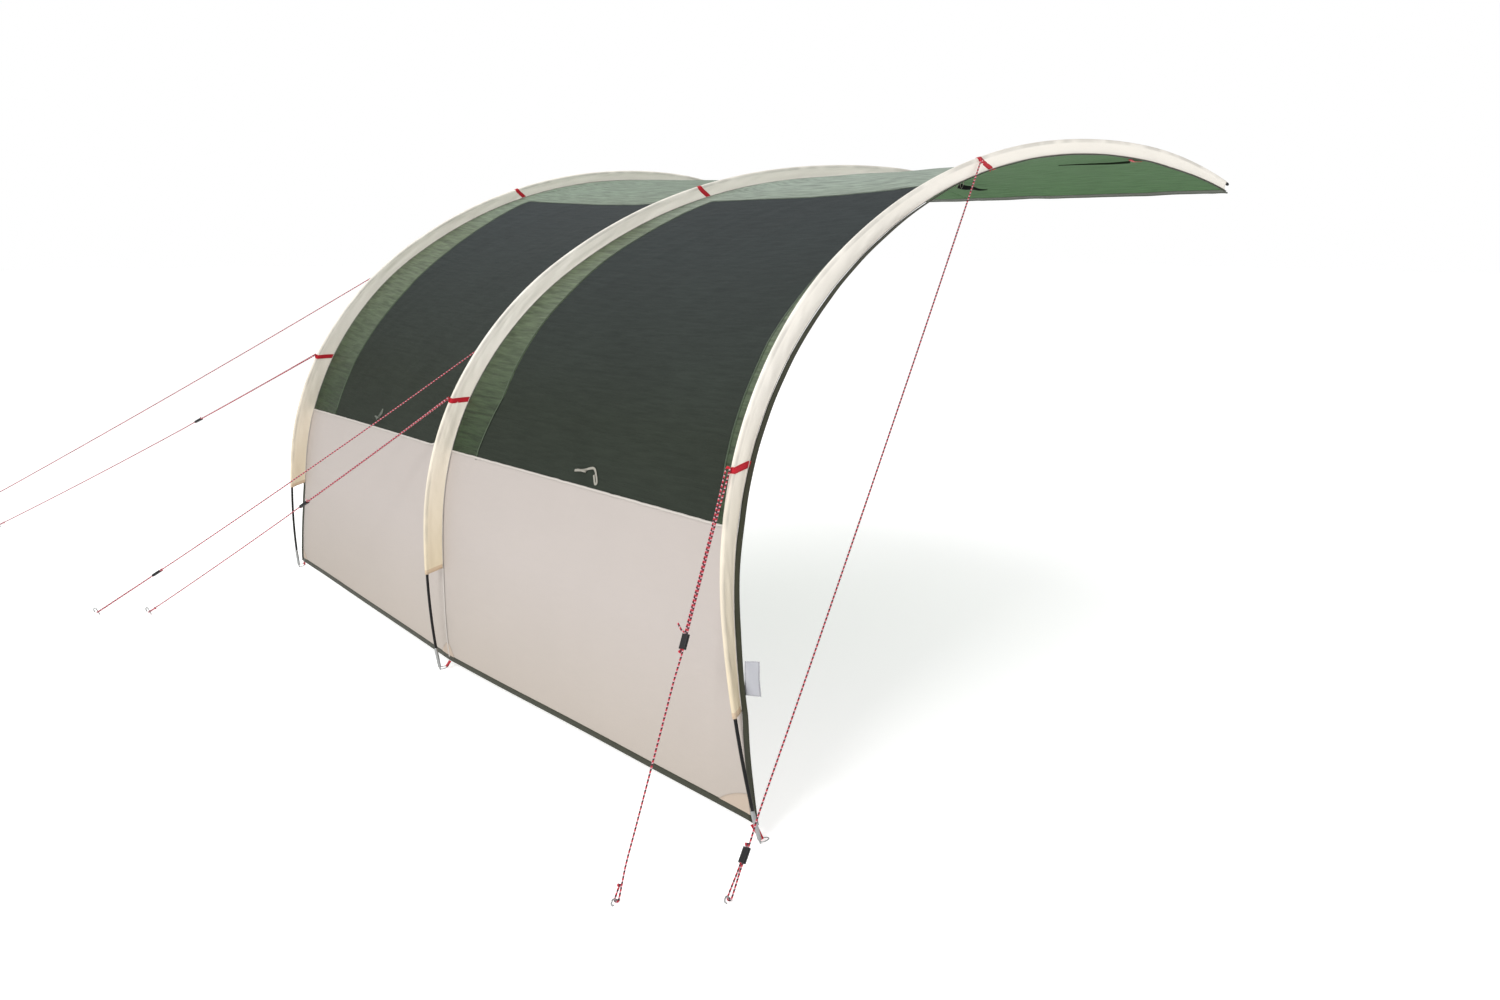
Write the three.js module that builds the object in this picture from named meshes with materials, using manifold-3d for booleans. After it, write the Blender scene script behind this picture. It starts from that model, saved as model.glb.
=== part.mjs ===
// Three-arch tunnel awning: a beige ground wall, green canopy with two screened windows,
// three bent poles in outer sleeves, ring-and-pin feet and six guy lines.
// Millimetres, +Z up. The origin is on the ground under the middle arch's foot pin.
// X runs from the ground wall to the free vehicle-side edge, Y along the tunnel to the rear arch.
import * as THREE from "three";
import { mergeVertices } from "three/addons/utils/BufferGeometryUtils.js";
import Module from "manifold-3d";

const wasm = await Module();
wasm.setup();

// ---------------------------------------------------------------- driving dimensions
const ARCH_LENGTH = 4391;
const ARCH_STEPS = 35;
const ARCH_STEP = ARCH_LENGTH / ARCH_STEPS;
// Slope of the bent pole in degrees at equal steps along it, foot to tip.
const ARCH_SLOPES = [98.4, 86.2, 57.6, 33.7, 19.2, 6.4, -4.2, -21.0];

// Each arch: foot position, width and height factors, lean along Y per height, swing along Y per width,
// and the places along the pole of the ground hem, the sleeve's lower end, the guy straps and the wall seam.
const REAR = {
  name: "rear", foot: [117, 2003], width: 1, height: 0.997, lean: -0.146, swing: 0.1,
  hem: 22, sleeveEnd: 450, straps: [1147, 2622], seam: 880,
};
const MIDDLE = {
  name: "middle", foot: [0, 0], width: 1.0143, height: 0.9764, lean: 0.029, swing: -0.02,
  hem: 28, sleeveEnd: 417, straps: [1139, 2657], seam: 945,
};
const FRONT = {
  name: "front", foot: [83, -2002], width: 1, height: 1, lean: 0.229, swing: 0.038,
  hem: 40, sleeveEnd: 370, straps: [1078, 2725], seam: 915,
};
const ARCHES = [REAR, MIDDLE, FRONT];
// The lower middle arch bends up again towards the vehicle, by these heights at these places.
const LIFT_AT = [3100, 3400, 3700, 4000, 4391];
const LIFT = [0, 3, 11, 23, 41];

// Depth of the canopy below the pole's axis, along the pole.
const DEPTH_AT = [0, 380, 700, 1000, 1700, 2500, 3300, 4000, ARCH_LENGTH];
REAR.depths = [26, 70, 76, 80, 62, 50, 46, 46, 40];
MIDDLE.depths = [46, 68, 72, 68, 60, 50, 48, 46, 40];
FRONT.depths = [16, 26, 40, 49, 60, 46, 48, 56, 34];

const POLE_RADIUS = 5.5;
const POLE_SECTIONS = [100, 10 * ARCH_STEP, 22 * ARCH_STEP, 4378];
const SECTION_GAP = 1;
const POLE_NAMES = ["lower", "shoulder", "roof"];
const FOOT_TUBE_RADIUS = 6.5;
const FOOT_TUBE_BASE = 14;
const PIN_RADIUS = 2.8;
const PIN_BORE = 3.3;
const PIN_DEPTH = 48;
const RING_RADIUS = 15;
const RING_WIRE = 1.7;
const RING_HEIGHT = 7;
const LOOP_WIDTH = 10;
const LOOP_THICK = 1.5;
const LOOP_CLEARANCE = 2;
const LOOP_REACH_GAP = 4.5;
const GAP = 0.3;

const SLEEVE_OUTER = 7.6;
const SLEEVE_INNER = 6.2;
const SLEEVE_ROOT = 1.5;
const SLEEVE_CHANNEL = 0.75;
const STRAP_WIDTH = 20;
const STRAP_THICK = 1.6;

const CLOTH = 3;
const BLIND_DEPTH = 9;
const BLIND_MARGIN = 40;
// How far the cloth sags inward halfway across a bay, at places along the arches.
const SAG_AT = [0, 900, 1800, 2600, 4362];
const BAY_SAG = [0, 30, 30, 14, 0];
const WINDOW_TOP = 2600;
const ROOF_END = 4362;
// The folded strip beyond an end arch; the front one turns under and narrows over the roof.
const EDGE = 27;
const EDGE_TURNED = 9;
const HEM_HEIGHT = 24;
const EDGE_GAP = 0.6;
// Below the front sleeve the cloth's edge is drawn back from the pole towards its corner at the ground.
const DRAWN_FROM = 3 * ARCH_STEP;
const DRAWN_SLOPE = 0.13;
// Bays: their two arches and the shares of the width where the window starts and ends.
const REAR_BAY = { name: "rear_bay", from: REAR, to: MIDDLE, window: [0.16, 0.84], toggle: [960, 0.47] };
const FRONT_BAY = { name: "front_bay", from: MIDDLE, to: FRONT, window: [0.11, 0.945], toggle: [985, 0.5] };
const BAYS = [REAR_BAY, FRONT_BAY];

const CORD_RADIUS = 2.75;
const CORD_SAG = 0.006;
const STRAND_WIDE = 5.9;
const STRAND_CLOSE = 3.15;
const RUNNER = [22, 11.5, 44];
const RUNNER_SLOT = [13, 7];
const PEG_RADIUS = 2.5;
const PEG_LENGTH = 220;
const PEG_GRIP = 14;
const PEG_TOP = 30;
const PEG_HOOK = 8;

// Guy lines: the arch, which strap, the ground point, the runner's distance along the straight of the line,
// and at which end the cord runs back to the runner as a second strand. One line first lies along its
// sleeve down to the place called leaves.
const GUYS = [
  { arch: REAR, strap: 0, level: "mid", ground: [-980, 4040], runner: 903, doubled: "strap" },
  { arch: REAR, strap: 1, level: "top", ground: [-1200, 4370], runner: 3760, doubled: "peg" },
  { arch: MIDDLE, strap: 0, level: "mid", ground: [-730, 1550], runner: 903, doubled: "strap" },
  { arch: MIDDLE, strap: 1, level: "top", ground: [-920, 1690], runner: 2120, doubled: "peg", leaves: 1550 },
  { arch: FRONT, strap: 0, level: "mid", ground: [-420, -2030], runner: 519, doubled: "strap" },
  { arch: FRONT, strap: 1, level: "top", ground: [-180, -2210], runner: 2555, doubled: "peg" },
];

// ---------------------------------------------------------------- colours
const cloth = (hex) => new THREE.MeshStandardMaterial({ color: hex, roughness: 0.85, metalness: 0 });
const BEIGE = 0xc9c1b8;
const SLEEVE_BEIGE = 0xdad2c2;
const GREEN = 0x5f7259;
const OLIVE = 0x3b3c2e;
const CHARCOAL = 0x3d423d;
const RED = 0xc92131;
const STEEL = new THREE.MeshStandardMaterial({ color: 0xb4b6b8, roughness: 0.35, metalness: 0.9 });
const GLASS_FIBRE = new THREE.MeshStandardMaterial({ color: 0x141414, roughness: 0.4, metalness: 0 });
const BLACK_PLASTIC = new THREE.MeshStandardMaterial({ color: 0x1a1a1c, roughness: 0.5, metalness: 0 });

// ---------------------------------------------------------------- arch geometry
const V = (x, y, z) => new THREE.Vector3(x, y, z);
const lerp = THREE.MathUtils.lerp;

function tableAt(keys, values, at) {
  const last = keys.length - 1;
  let i = 0;
  while (i < last - 1 && at > keys[i + 1]) i += 1;
  const share = THREE.MathUtils.clamp((at - keys[i]) / (keys[i + 1] - keys[i]), 0, 1);
  return lerp(values[i], values[i + 1], share);
}

const SLOPE_KEYS = ARCH_SLOPES.map((_, i) => (i * ARCH_LENGTH) / (ARCH_SLOPES.length - 1));
const slopeAt = (s) => THREE.MathUtils.degToRad(tableAt(SLOPE_KEYS, ARCH_SLOPES, s));

// The pole's bend as a line of equal chords, each summed from short pieces.
function bendPole() {
  const pieces = 12;
  const points = [{ x: 0, z: 0 }];
  for (let i = 0; i < ARCH_STEPS; i += 1) {
    const end = { ...points[i] };
    for (let k = 0; k < pieces; k += 1) {
      const slope = slopeAt((i + (k + 0.5) / pieces) * ARCH_STEP);
      end.x += (ARCH_STEP / pieces) * Math.cos(slope);
      end.z += (ARCH_STEP / pieces) * Math.sin(slope);
    }
    points.push(end);
  }
  return points;
}
const BENT = bendPole();

// Places along the pole from one to another that include every corner of the chords between them.
function stations(from, to) {
  const inner = BENT.map((_, i) => i * ARCH_STEP).filter((s) => s > from + 8 && s < to - 8);
  return [from, ...inner, to];
}

// A point of an arch: s along the pole, depth inward from its axis, shift along Y out of its plane.
function onArch(arch, s, depth = 0, shift = 0) {
  const at = s / ARCH_STEP;
  const i = THREE.MathUtils.clamp(Math.floor(at), 0, ARCH_STEPS - 1);
  const slope = slopeAt(s);
  const x = (lerp(BENT[i].x, BENT[i + 1].x, at - i) + depth * Math.sin(slope)) * arch.width;
  const lift = arch === MIDDLE ? tableAt(LIFT_AT, LIFT, s) : 0;
  const z = (lerp(BENT[i].z, BENT[i + 1].z, at - i) - depth * Math.cos(slope)) * arch.height + lift;
  return V(arch.foot[0] + x, arch.foot[1] + arch.lean * z + arch.swing * x + shift, z);
}

const drawnAt = (arch, s) => (arch === FRONT ? Math.max(0, DRAWN_FROM - s) * DRAWN_SLOPE : 0);

// Unit directions at a point of an arch: along the pole, inward, and out of the arch's plane.
function archFrame(arch, s) {
  const along = onArch(arch, s + 4).sub(onArch(arch, s - 4)).normalize();
  const side = onArch(arch, s, 10).sub(onArch(arch, s, -10)).cross(along).normalize();
  const inward = along.clone().cross(side).normalize();
  return { along, inward, side };
}

const depthAt = (arch, s) => tableAt(DEPTH_AT, arch.depths, s);

// ---------------------------------------------------------------- solids
function spread(from, to, count) {
  return Array.from({ length: count + 1 }, (_, i) => lerp(from, to, i / count));
}

function solidFrom(points, faces) {
  const geometry = new THREE.BufferGeometry();
  const numbers = points.flatMap((p) => [p.x, p.y, p.z]);
  geometry.setAttribute("position", new THREE.Float32BufferAttribute(numbers, 3));
  geometry.setIndex(faces.flat());
  geometry.computeVertexNormals();
  return geometry;
}

function volumeOf(points, faces) {
  const cross = new THREE.Vector3();
  const six = faces.map(([a, b, c]) => points[a].dot(cross.crossVectors(points[b], points[c])));
  return six.reduce((sum, v) => sum + v, 0) / 6;
}

function outward(points, faces) {
  const flipped = volumeOf(points, faces) < 0;
  return solidFrom(points, flipped ? faces.map(([a, b, c]) => [a, c, b]) : faces);
}

// A closed solid through rings of equally many points, flat at both ends.
function loft(rings, cap) {
  const n = rings[0].length;
  const faces = [];
  for (let i = 0; i + 1 < rings.length; i += 1) {
    for (let j = 0; j < n; j += 1) {
      const a = i * n + j;
      const b = i * n + ((j + 1) % n);
      faces.push([a, b, b + n], [a, b + n, a + n]);
    }
  }
  const end = (rings.length - 1) * n;
  for (const [a, b, c] of cap) {
    faces.push([c, b, a], [end + a, end + b, end + c]);
  }
  return outward(rings.flat(), faces);
}

const fan = (n) => Array.from({ length: n - 2 }, (_, i) => [0, i + 1, i + 2]);

// A hollow tube of any outline: outer and inner rings of equally many points, open at both ends.
function hollow(outer, inner) {
  const n = outer[0].length;
  const count = outer.length;
  const faces = [];
  const skin = (base, flip) => {
    for (let i = 0; i + 1 < count; i += 1) {
      for (let j = 0; j < n; j += 1) {
        const a = base + i * n + j;
        const b = base + i * n + ((j + 1) % n);
        faces.push(flip ? [a, b + n, b] : [a, b, b + n], flip ? [a, a + n, b + n] : [a, b + n, a + n]);
      }
    }
  };
  const inside = count * n;
  skin(0, false);
  skin(inside, true);
  for (let j = 0; j < n; j += 1) {
    const k = (j + 1) % n;
    const far = (count - 1) * n;
    faces.push([k, j, inside + j], [k, inside + j, inside + k]);
    faces.push([far + j, far + k, inside + far + k], [far + j, inside + far + k, inside + far + j]);
  }
  return outward([...outer.flat(), ...inner.flat()], faces);
}

// A sheet with thickness over a grid of places; keep(i, j) says which cells are cloth.
function sheet(rows, columns, place, keep) {
  const points = [];
  const faces = [];
  const index = new Map();
  const corner = (i, j, side) => {
    const key = `${i},${j},${side}`;
    if (!index.has(key)) {
      index.set(key, points.length);
      points.push(place(rows[i], columns[j], side));
    }
    return index.get(key);
  };
  const kept = (i, j) => i >= 0 && j >= 0 && i < rows.length - 1 && j < columns.length - 1 && keep(i, j);
  const quad = (a, b, c, d) => faces.push([a, b, c], [a, c, d]);
  for (let i = 0; i < rows.length - 1; i += 1) {
    for (let j = 0; j < columns.length - 1; j += 1) {
      if (!kept(i, j)) continue;
      quad(corner(i, j, 0), corner(i, j + 1, 0), corner(i + 1, j + 1, 0), corner(i + 1, j, 0));
      quad(corner(i, j, 1), corner(i + 1, j, 1), corner(i + 1, j + 1, 1), corner(i, j + 1, 1));
      const edges = [
        [i, j - 1, [i + 1, j], [i, j]],
        [i, j + 1, [i, j + 1], [i + 1, j + 1]],
        [i - 1, j, [i, j], [i, j + 1]],
        [i + 1, j, [i + 1, j + 1], [i + 1, j]],
      ];
      for (const [ni, nj, p, q] of edges) {
        if (kept(ni, nj)) continue;
        quad(corner(...q, 0), corner(...p, 0), corner(...p, 1), corner(...q, 1));
      }
    }
  }
  return outward(points, faces);
}

// A path through given points, with one ring of the tube at each of them.
class Route extends THREE.Curve {
  constructor(points) {
    super();
    this.points = points;
  }

  getPoint(t, target = new THREE.Vector3()) {
    const at = THREE.MathUtils.clamp(t, 0, 1) * (this.points.length - 1);
    const i = Math.min(Math.floor(at), this.points.length - 2);
    return target.copy(this.points[i]).lerp(this.points[i + 1], at - i);
  }

  getUtoTmapping(u) {
    return u;
  }
}

function roundBar(points, radius, sides) {
  const section = new THREE.Shape();
  for (let i = 0; i < sides; i += 1) {
    const turn = (2 * Math.PI * i) / sides;
    const spot = [radius * Math.cos(turn), radius * Math.sin(turn)];
    if (i === 0) section.moveTo(...spot);
    else section.lineTo(...spot);
  }
  section.closePath();
  const options = { steps: points.length - 1, extrudePath: new Route(points), bevelEnabled: false };
  return new THREE.ExtrudeGeometry(section, options);
}

const root = new THREE.Group();

function add(name, geometry, material) {
  const mesh = new THREE.Mesh(geometry, material);
  mesh.name = name;
  root.add(mesh);
  return mesh;
}

// ---------------------------------------------------------------- poles and feet
function addPole(arch) {
  POLE_NAMES.forEach((part, i) => {
    const places = stations(POLE_SECTIONS[i], POLE_SECTIONS[i + 1] - SECTION_GAP);
    const line = places.map((s) => onArch(arch, s));
    add(`pole_${arch.name}_${part}`, roundBar(line, POLE_RADIUS, 8), GLASS_FIBRE);
  });
}

// A foot's own frame: z up along the pole from the ground, y inward to the wall.
function footFrame(arch) {
  const base = onArch(arch, 0);
  const up = onArch(arch, 1).sub(base).normalize();
  const { inward } = archFrame(arch, 50);
  inward.addScaledVector(up, -inward.dot(up)).normalize();
  return new THREE.Matrix4().makeBasis(inward.clone().cross(up), inward, up).setPosition(base);
}

function manifoldOf(geometry) {
  const bare = geometry.clone();
  bare.deleteAttribute("normal");
  bare.deleteAttribute("uv");
  const merged = mergeVertices(bare, 1e-4);
  const triVerts = new Uint32Array(merged.index.array);
  const vertProperties = merged.attributes.position.array;
  return new wasm.Manifold(new wasm.Mesh({ numProp: 3, vertProperties, triVerts }));
}

function joined(first, second) {
  const mesh = manifoldOf(first).add(manifoldOf(second)).getMesh();
  const geometry = new THREE.BufferGeometry();
  geometry.setAttribute("position", new THREE.BufferAttribute(mesh.vertProperties, 3));
  geometry.setIndex(Array.from(mesh.triVerts));
  geometry.computeVertexNormals();
  return geometry;
}

// The steel end tube, closed above and bored from below for the pin.
function footTube(arch) {
  const bottom = FOOT_TUBE_BASE;
  const top = onArch(arch, POLE_SECTIONS[0]).distanceTo(onArch(arch, 0)) - GAP;
  const outline = [
    [0, bottom + PIN_DEPTH],
    [PIN_BORE, bottom + PIN_DEPTH],
    [PIN_BORE, bottom],
    [FOOT_TUBE_RADIUS, bottom],
    [FOOT_TUBE_RADIUS, top],
    [0, top],
  ];
  return new THREE.LatheGeometry(outline.map(([r, z]) => new THREE.Vector2(r, z)), 16).rotateX(Math.PI / 2);
}

// The pin with the ring that passes round it just above the ground.
function ringPin() {
  const length = FOOT_TUBE_BASE + PIN_DEPTH - 3;
  const pin = new THREE.CylinderGeometry(PIN_RADIUS, PIN_RADIUS, length, 14);
  pin.rotateX(Math.PI / 2).translate(0, 0, length / 2);
  const ring = new THREE.TorusGeometry(RING_RADIUS, RING_WIRE, 8, 18);
  ring.translate(0, RING_RADIUS, RING_HEIGHT);
  return joined(pin, ring);
}

// The webbing loop round the side of the ring that faces the cloth's corner, reaching up to the ground hem.
function footLoop(arch, frame) {
  const wire = new THREE.Vector3(0, 2 * RING_RADIUS, RING_HEIGHT);
  const hem = onArch(arch, arch.hem - 1, depthAt(arch, arch.hem) + CLOTH / 2, drawnAt(arch, arch.hem));
  hem.applyMatrix4(frame.clone().invert());
  const turn = Math.atan2(-hem.x, hem.y - RING_RADIUS);
  const swing = new THREE.Matrix4().makeTranslation(0, RING_RADIUS, 0)
    .multiply(new THREE.Matrix4().makeRotationZ(turn))
    .multiply(new THREE.Matrix4().makeTranslation(0, -RING_RADIUS, 0));
  hem.applyMatrix4(swing.clone().invert());
  const reach = hem.distanceTo(wire) - LOOP_REACH_GAP;
  const inner = RING_WIRE + LOOP_CLEARANCE;
  const outer = inner + LOOP_THICK;
  const shape = new THREE.Shape();
  shape.moveTo(reach, -outer);
  shape.lineTo(reach, outer);
  shape.lineTo(0, outer);
  shape.absarc(0, 0, outer, Math.PI / 2, (3 * Math.PI) / 2, false);
  const eye = new THREE.Path();
  eye.moveTo(reach - LOOP_THICK, -inner);
  eye.lineTo(reach - LOOP_THICK, inner);
  eye.lineTo(0, inner);
  eye.absarc(0, 0, inner, Math.PI / 2, (3 * Math.PI) / 2, false);
  shape.holes.push(eye);
  const loop = new THREE.ExtrudeGeometry(shape, { depth: LOOP_WIDTH, bevelEnabled: false, curveSegments: 6 });
  const along = hem.clone().sub(wire).normalize();
  const across = new THREE.Vector3(-1, 0, 0);
  const basis = new THREE.Matrix4().makeBasis(along, across.clone().cross(along), across);
  loop.translate(0, 0, -LOOP_WIDTH / 2).applyMatrix4(basis.setPosition(wire)).applyMatrix4(swing);
  loop.applyMatrix4(frame);
  return loop;
}

function addFoot(arch) {
  const frame = footFrame(arch);
  add(`foot_tube_${arch.name}`, footTube(arch).applyMatrix4(frame), STEEL);
  add(`ring_pin_${arch.name}`, ringPin().applyMatrix4(frame), STEEL);
  add(`foot_loop_${arch.name}`, footLoop(arch, frame), cloth(RED));
}

// ---------------------------------------------------------------- sleeves and straps
// Outline of a fold over the pole: half width at the pole and at the root, and the root's depth.
function foldOutline(arch, s, radius, rootHalf, rootDepth) {
  const { inward, side } = archFrame(arch, s);
  const axis = onArch(arch, s);
  const turns = [90, 135, 180, 225, 270].map(THREE.MathUtils.degToRad);
  const bend = turns.map((turn) => [radius * Math.cos(turn), radius * Math.sin(turn)]);
  const outline = [[rootDepth, rootHalf], ...bend, [rootDepth, -rootHalf]];
  return outline.map(([u, v]) => axis.clone().addScaledVector(inward, u).addScaledVector(side, v));
}

function addSleeve(arch) {
  const places = stations(arch.sleeveEnd, 4361);
  const depth = (s) => depthAt(arch, s) - 1.4;
  const outer = places.map((s) => foldOutline(arch, s, SLEEVE_OUTER, SLEEVE_ROOT, depth(s)));
  const inner = places.map((s) => foldOutline(arch, s, SLEEVE_INNER, 0.3, SLEEVE_CHANNEL * depth(s)));
  add(`sleeve_${arch.name}`, hollow(outer, inner), cloth(SLEEVE_BEIGE));
}

// Red webbing folded over the sleeve, with both ends down at the sleeve's root.
function addStrap(arch, s, level) {
  const radius = SLEEVE_OUTER + GAP;
  const end = depthAt(arch, s) - 3;
  const inside = foldOutline(arch, s, radius, SLEEVE_ROOT + 0.6, end);
  const outside = foldOutline(arch, s, radius + STRAP_THICK, SLEEVE_ROOT + 0.6 + STRAP_THICK, end);
  const { along } = archFrame(arch, s);
  const n = inside.length;
  const band = [...outside, ...inside.reverse()];
  const half = STRAP_WIDTH / 2;
  const rings = [-half, half].map((d) => band.map((p) => p.clone().addScaledVector(along, d)));
  const cap = [];
  for (let i = 0; i + 1 < n; i += 1) {
    cap.push([i, i + 1, 2 * n - 2 - i], [i, 2 * n - 2 - i, 2 * n - 1 - i]);
  }
  add(`strap_${arch.name}_${level}`, loft(rings, cap), cloth(RED));
}

// ---------------------------------------------------------------- cloth of a bay
// A point of a bay: places along both arches, share of the way across, depth below the outer face.
function onBay(bay, places, share, depth) {
  const s = lerp(places[0], places[1], share);
  const a = onArch(bay.from, places[0], depthAt(bay.from, places[0]) + depth, -EDGE_GAP);
  const edge = EDGE_GAP + drawnAt(bay.to, places[1]);
  const b = onArch(bay.to, places[1], depthAt(bay.to, places[1]) + depth, edge);
  const sag = tableAt(SAG_AT, BAY_SAG, s) * 4 * share * (1 - share);
  const { inward } = archFrame(bay.from, s);
  return a.lerp(b, share).addScaledVector(inward, sag);
}

// Place rows by a share that runs from one pair of places along the two arches to another pair.
const between = (low, high) => (share) => [lerp(low[0], high[0], share), lerp(low[1], high[1], share)];

function bayCloth(bay, low, high, rows, columns, depths, keep = () => true) {
  const at = between(low, high);
  return sheet(rows, columns, (r, t, side) => onBay(bay, at(r), t, depths[side]), keep);
}

function addBay(bay) {
  const seams = [bay.from.seam, bay.to.seam];
  const hemTops = [bay.from.hem + HEM_HEIGHT + EDGE_GAP, bay.to.hem + HEM_HEIGHT + EDGE_GAP];
  const wallTops = seams.map((s) => s - EDGE_GAP);
  const face = [0, CLOTH];
  const across = spread(0, 1, 6);
  add(`wall_${bay.name}`, bayCloth(bay, hemTops, wallTops, spread(0, 1, 8), across, face), cloth(BEIGE));

  // The canopy goes round the window on three sides and over the roof.
  const windowRows = 12;
  const roofRows = 12;
  const [left, right] = bay.window;
  const columns = [0, ...spread(left, right, 4), 1];
  const rows = [...spread(0, 1, windowRows), ...spread(1, 2, roofRows).slice(1)];
  const roofEnds = [ROOF_END, ROOF_END];
  const tops = [WINDOW_TOP, WINDOW_TOP];
  const low = between(seams, tops);
  const high = between(tops, roofEnds);
  const place = (r, t, side) => onBay(bay, r <= 1 ? low(r) : high(r - 1), t, face[side]);
  const keep = (i, j) => i >= windowRows || j === 0 || j === columns.length - 2;
  add(`canopy_${bay.name}`, sheet(rows, columns, place, keep), cloth(GREEN));

  const inset = 0.0006;
  const window = spread(left + inset, right - inset, 5);
  const sills = seams.map((s) => s + EDGE_GAP);
  const heads = tops.map((s) => s - EDGE_GAP);
  const mesh = bayCloth(bay, sills, heads, spread(0, 1, 14), window, [0.3, 2.3]);
  add(`screen_${bay.name}`, mesh, cloth(CHARCOAL));

  const blind = spread(left - 0.02, right + 0.02, 5);
  const low2 = seams.map((s) => s - BLIND_MARGIN);
  const high2 = tops.map((s) => s + BLIND_MARGIN);
  const cover = bayCloth(bay, low2, high2, spread(0, 1, 14), blind, [BLIND_DEPTH, BLIND_DEPTH + 2]);
  add(`blind_${bay.name}`, cover, cloth(OLIVE));
}

// A bar of the blind's tie, standing just off the window's outer face.
function addToggle(bay) {
  const [s, share] = bay.toggle;
  const ends = [-0.014, 0.014].map((d) => onBay(bay, [s, s], share + d, -7));
  add(`toggle_${bay.name}`, roundBar(ends, 4, 8), cloth(SLEEVE_BEIGE));
}

// ---------------------------------------------------------------- tapes and edges
// Olive tape along the ground, through both bays.
function addGroundHem() {
  const shares = [...spread(0, 1, 5), ...spread(1, 2, 5).slice(1)];
  const point = (r, share, side) => {
    const bay = share <= 1 ? REAR_BAY : FRONT_BAY;
    const t = share <= 1 ? share : share - 1;
    const places = [bay.from.hem + r * HEM_HEIGHT, bay.to.hem + r * HEM_HEIGHT];
    const p = onBay(bay, places, t, side === 0 ? -0.5 : CLOTH + 0.5);
    if (share === 1) p.y = onArch(MIDDLE, places[1], depthAt(MIDDLE, places[1])).y;
    return p;
  };
  add("ground_hem", sheet([0, 1], shares, point, () => true), cloth(OLIVE));
}

// Folded edge strip beyond an end arch, from the ground hem to the vehicle side.
function addEdge(arch, outwardShift) {
  const places = stations(arch.hem, ROOF_END);
  const near = Math.sign(outwardShift) * EDGE_GAP;
  const turned = arch === FRONT ? EDGE_TURNED / EDGE : 1;
  const place = (s, far, side) => {
    const reach = lerp(1, turned, THREE.MathUtils.clamp((s - 2200) / 400, 0, 1));
    const shift = (far ? outwardShift * reach : near) + drawnAt(arch, s);
    return onArch(arch, s, depthAt(arch, s) + side * CLOTH, shift);
  };
  const strip = sheet(places, [0, 1], place, () => true);
  add(`edge_${arch.name}`, strip, cloth(OLIVE));
}

// The vehicle-side strip with a thicker bead along its free edge.
function addVehicleEdge() {
  const shares = [...spread(0, 1, 4), ...spread(1, 2, 4).slice(1)];
  const outline = [
    [ROOF_END + EDGE_GAP, 0],
    [4380, -2],
    [4386, -2],
    [4389, 1.5],
    [4386, 5],
    [4380, 5],
    [ROOF_END + EDGE_GAP, CLOTH],
  ];
  const rings = shares.map((share) => {
    const bay = share <= 1 ? REAR_BAY : FRONT_BAY;
    const t = share <= 1 ? share : share - 1;
    return outline.map(([s, depth]) => onBay(bay, [s, s], t, depth));
  });
  add("vehicle_edge", loft(rings, fan(outline.length)), cloth(OLIVE));
}

function addCareLabel() {
  const label = new THREE.BoxGeometry(44, 1.5, 105);
  label.translate(23, 0, 0).rotateZ(-Math.PI / 4);
  const spot = onArch(FRONT, 486, depthAt(FRONT, 486) + 4, -EDGE - 0.8);
  label.translate(spot.x, spot.y, spot.z);
  add("care_label", label, cloth(0xe9e9e6));
}

// ---------------------------------------------------------------- guy lines
// Where a guy's straight part starts: beyond the strap's fold, beside it, or where it leaves the sleeve.
function guyStart(guy) {
  const place = guy.arch.straps[guy.strap];
  const aside = guy.arch === FRONT ? -13 : 18;
  if (guy.leaves) return onArch(guy.arch, guy.leaves, depthAt(guy.arch, guy.leaves) - 6, 8);
  if (guy.level === "top") return onArch(guy.arch, place, 2, aside);
  return onArch(guy.arch, place, -(SLEEVE_OUTER + STRAP_THICK + CORD_RADIUS + STRAND_WIDE + 2));
}

// The straight line of a guy: from its start to where it goes round its peg.
function guyFrame(guy) {
  const start = guyStart(guy);
  const foot = V(guy.ground[0], guy.ground[1], 0);
  const rough = start.clone().sub(foot).normalize();
  const side = V(0, 0, 1).cross(rough).normalize();
  const pegUp = rough.clone().cross(side).normalize();
  const end = foot.clone().addScaledVector(pegUp, PEG_GRIP);
  const toPeg = end.clone().sub(start).normalize();
  return { start, end, side, pegUp, foot, toPeg, length: start.distanceTo(end) };
}

// A point of a guy line: distance from its strap, sideways shift, with the line's slight sag.
function onGuy(frame, distance, shift) {
  const share = distance / frame.length;
  const sag = CORD_SAG * frame.length * 4 * share * (1 - share);
  const p = frame.start.clone().addScaledVector(frame.toPeg, distance).addScaledVector(frame.side, shift);
  return p.addScaledVector(V(0, 0, -1), sag);
}

function bendPoints(frame, distance, away) {
  return [-60, -30, 0, 30, 60].map((degrees) => {
    const turn = THREE.MathUtils.degToRad(degrees);
    const beyond = away * STRAND_WIDE * Math.cos(turn);
    return onGuy(frame, distance + beyond, away * STRAND_WIDE * Math.sin(turn));
  });
}

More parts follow.
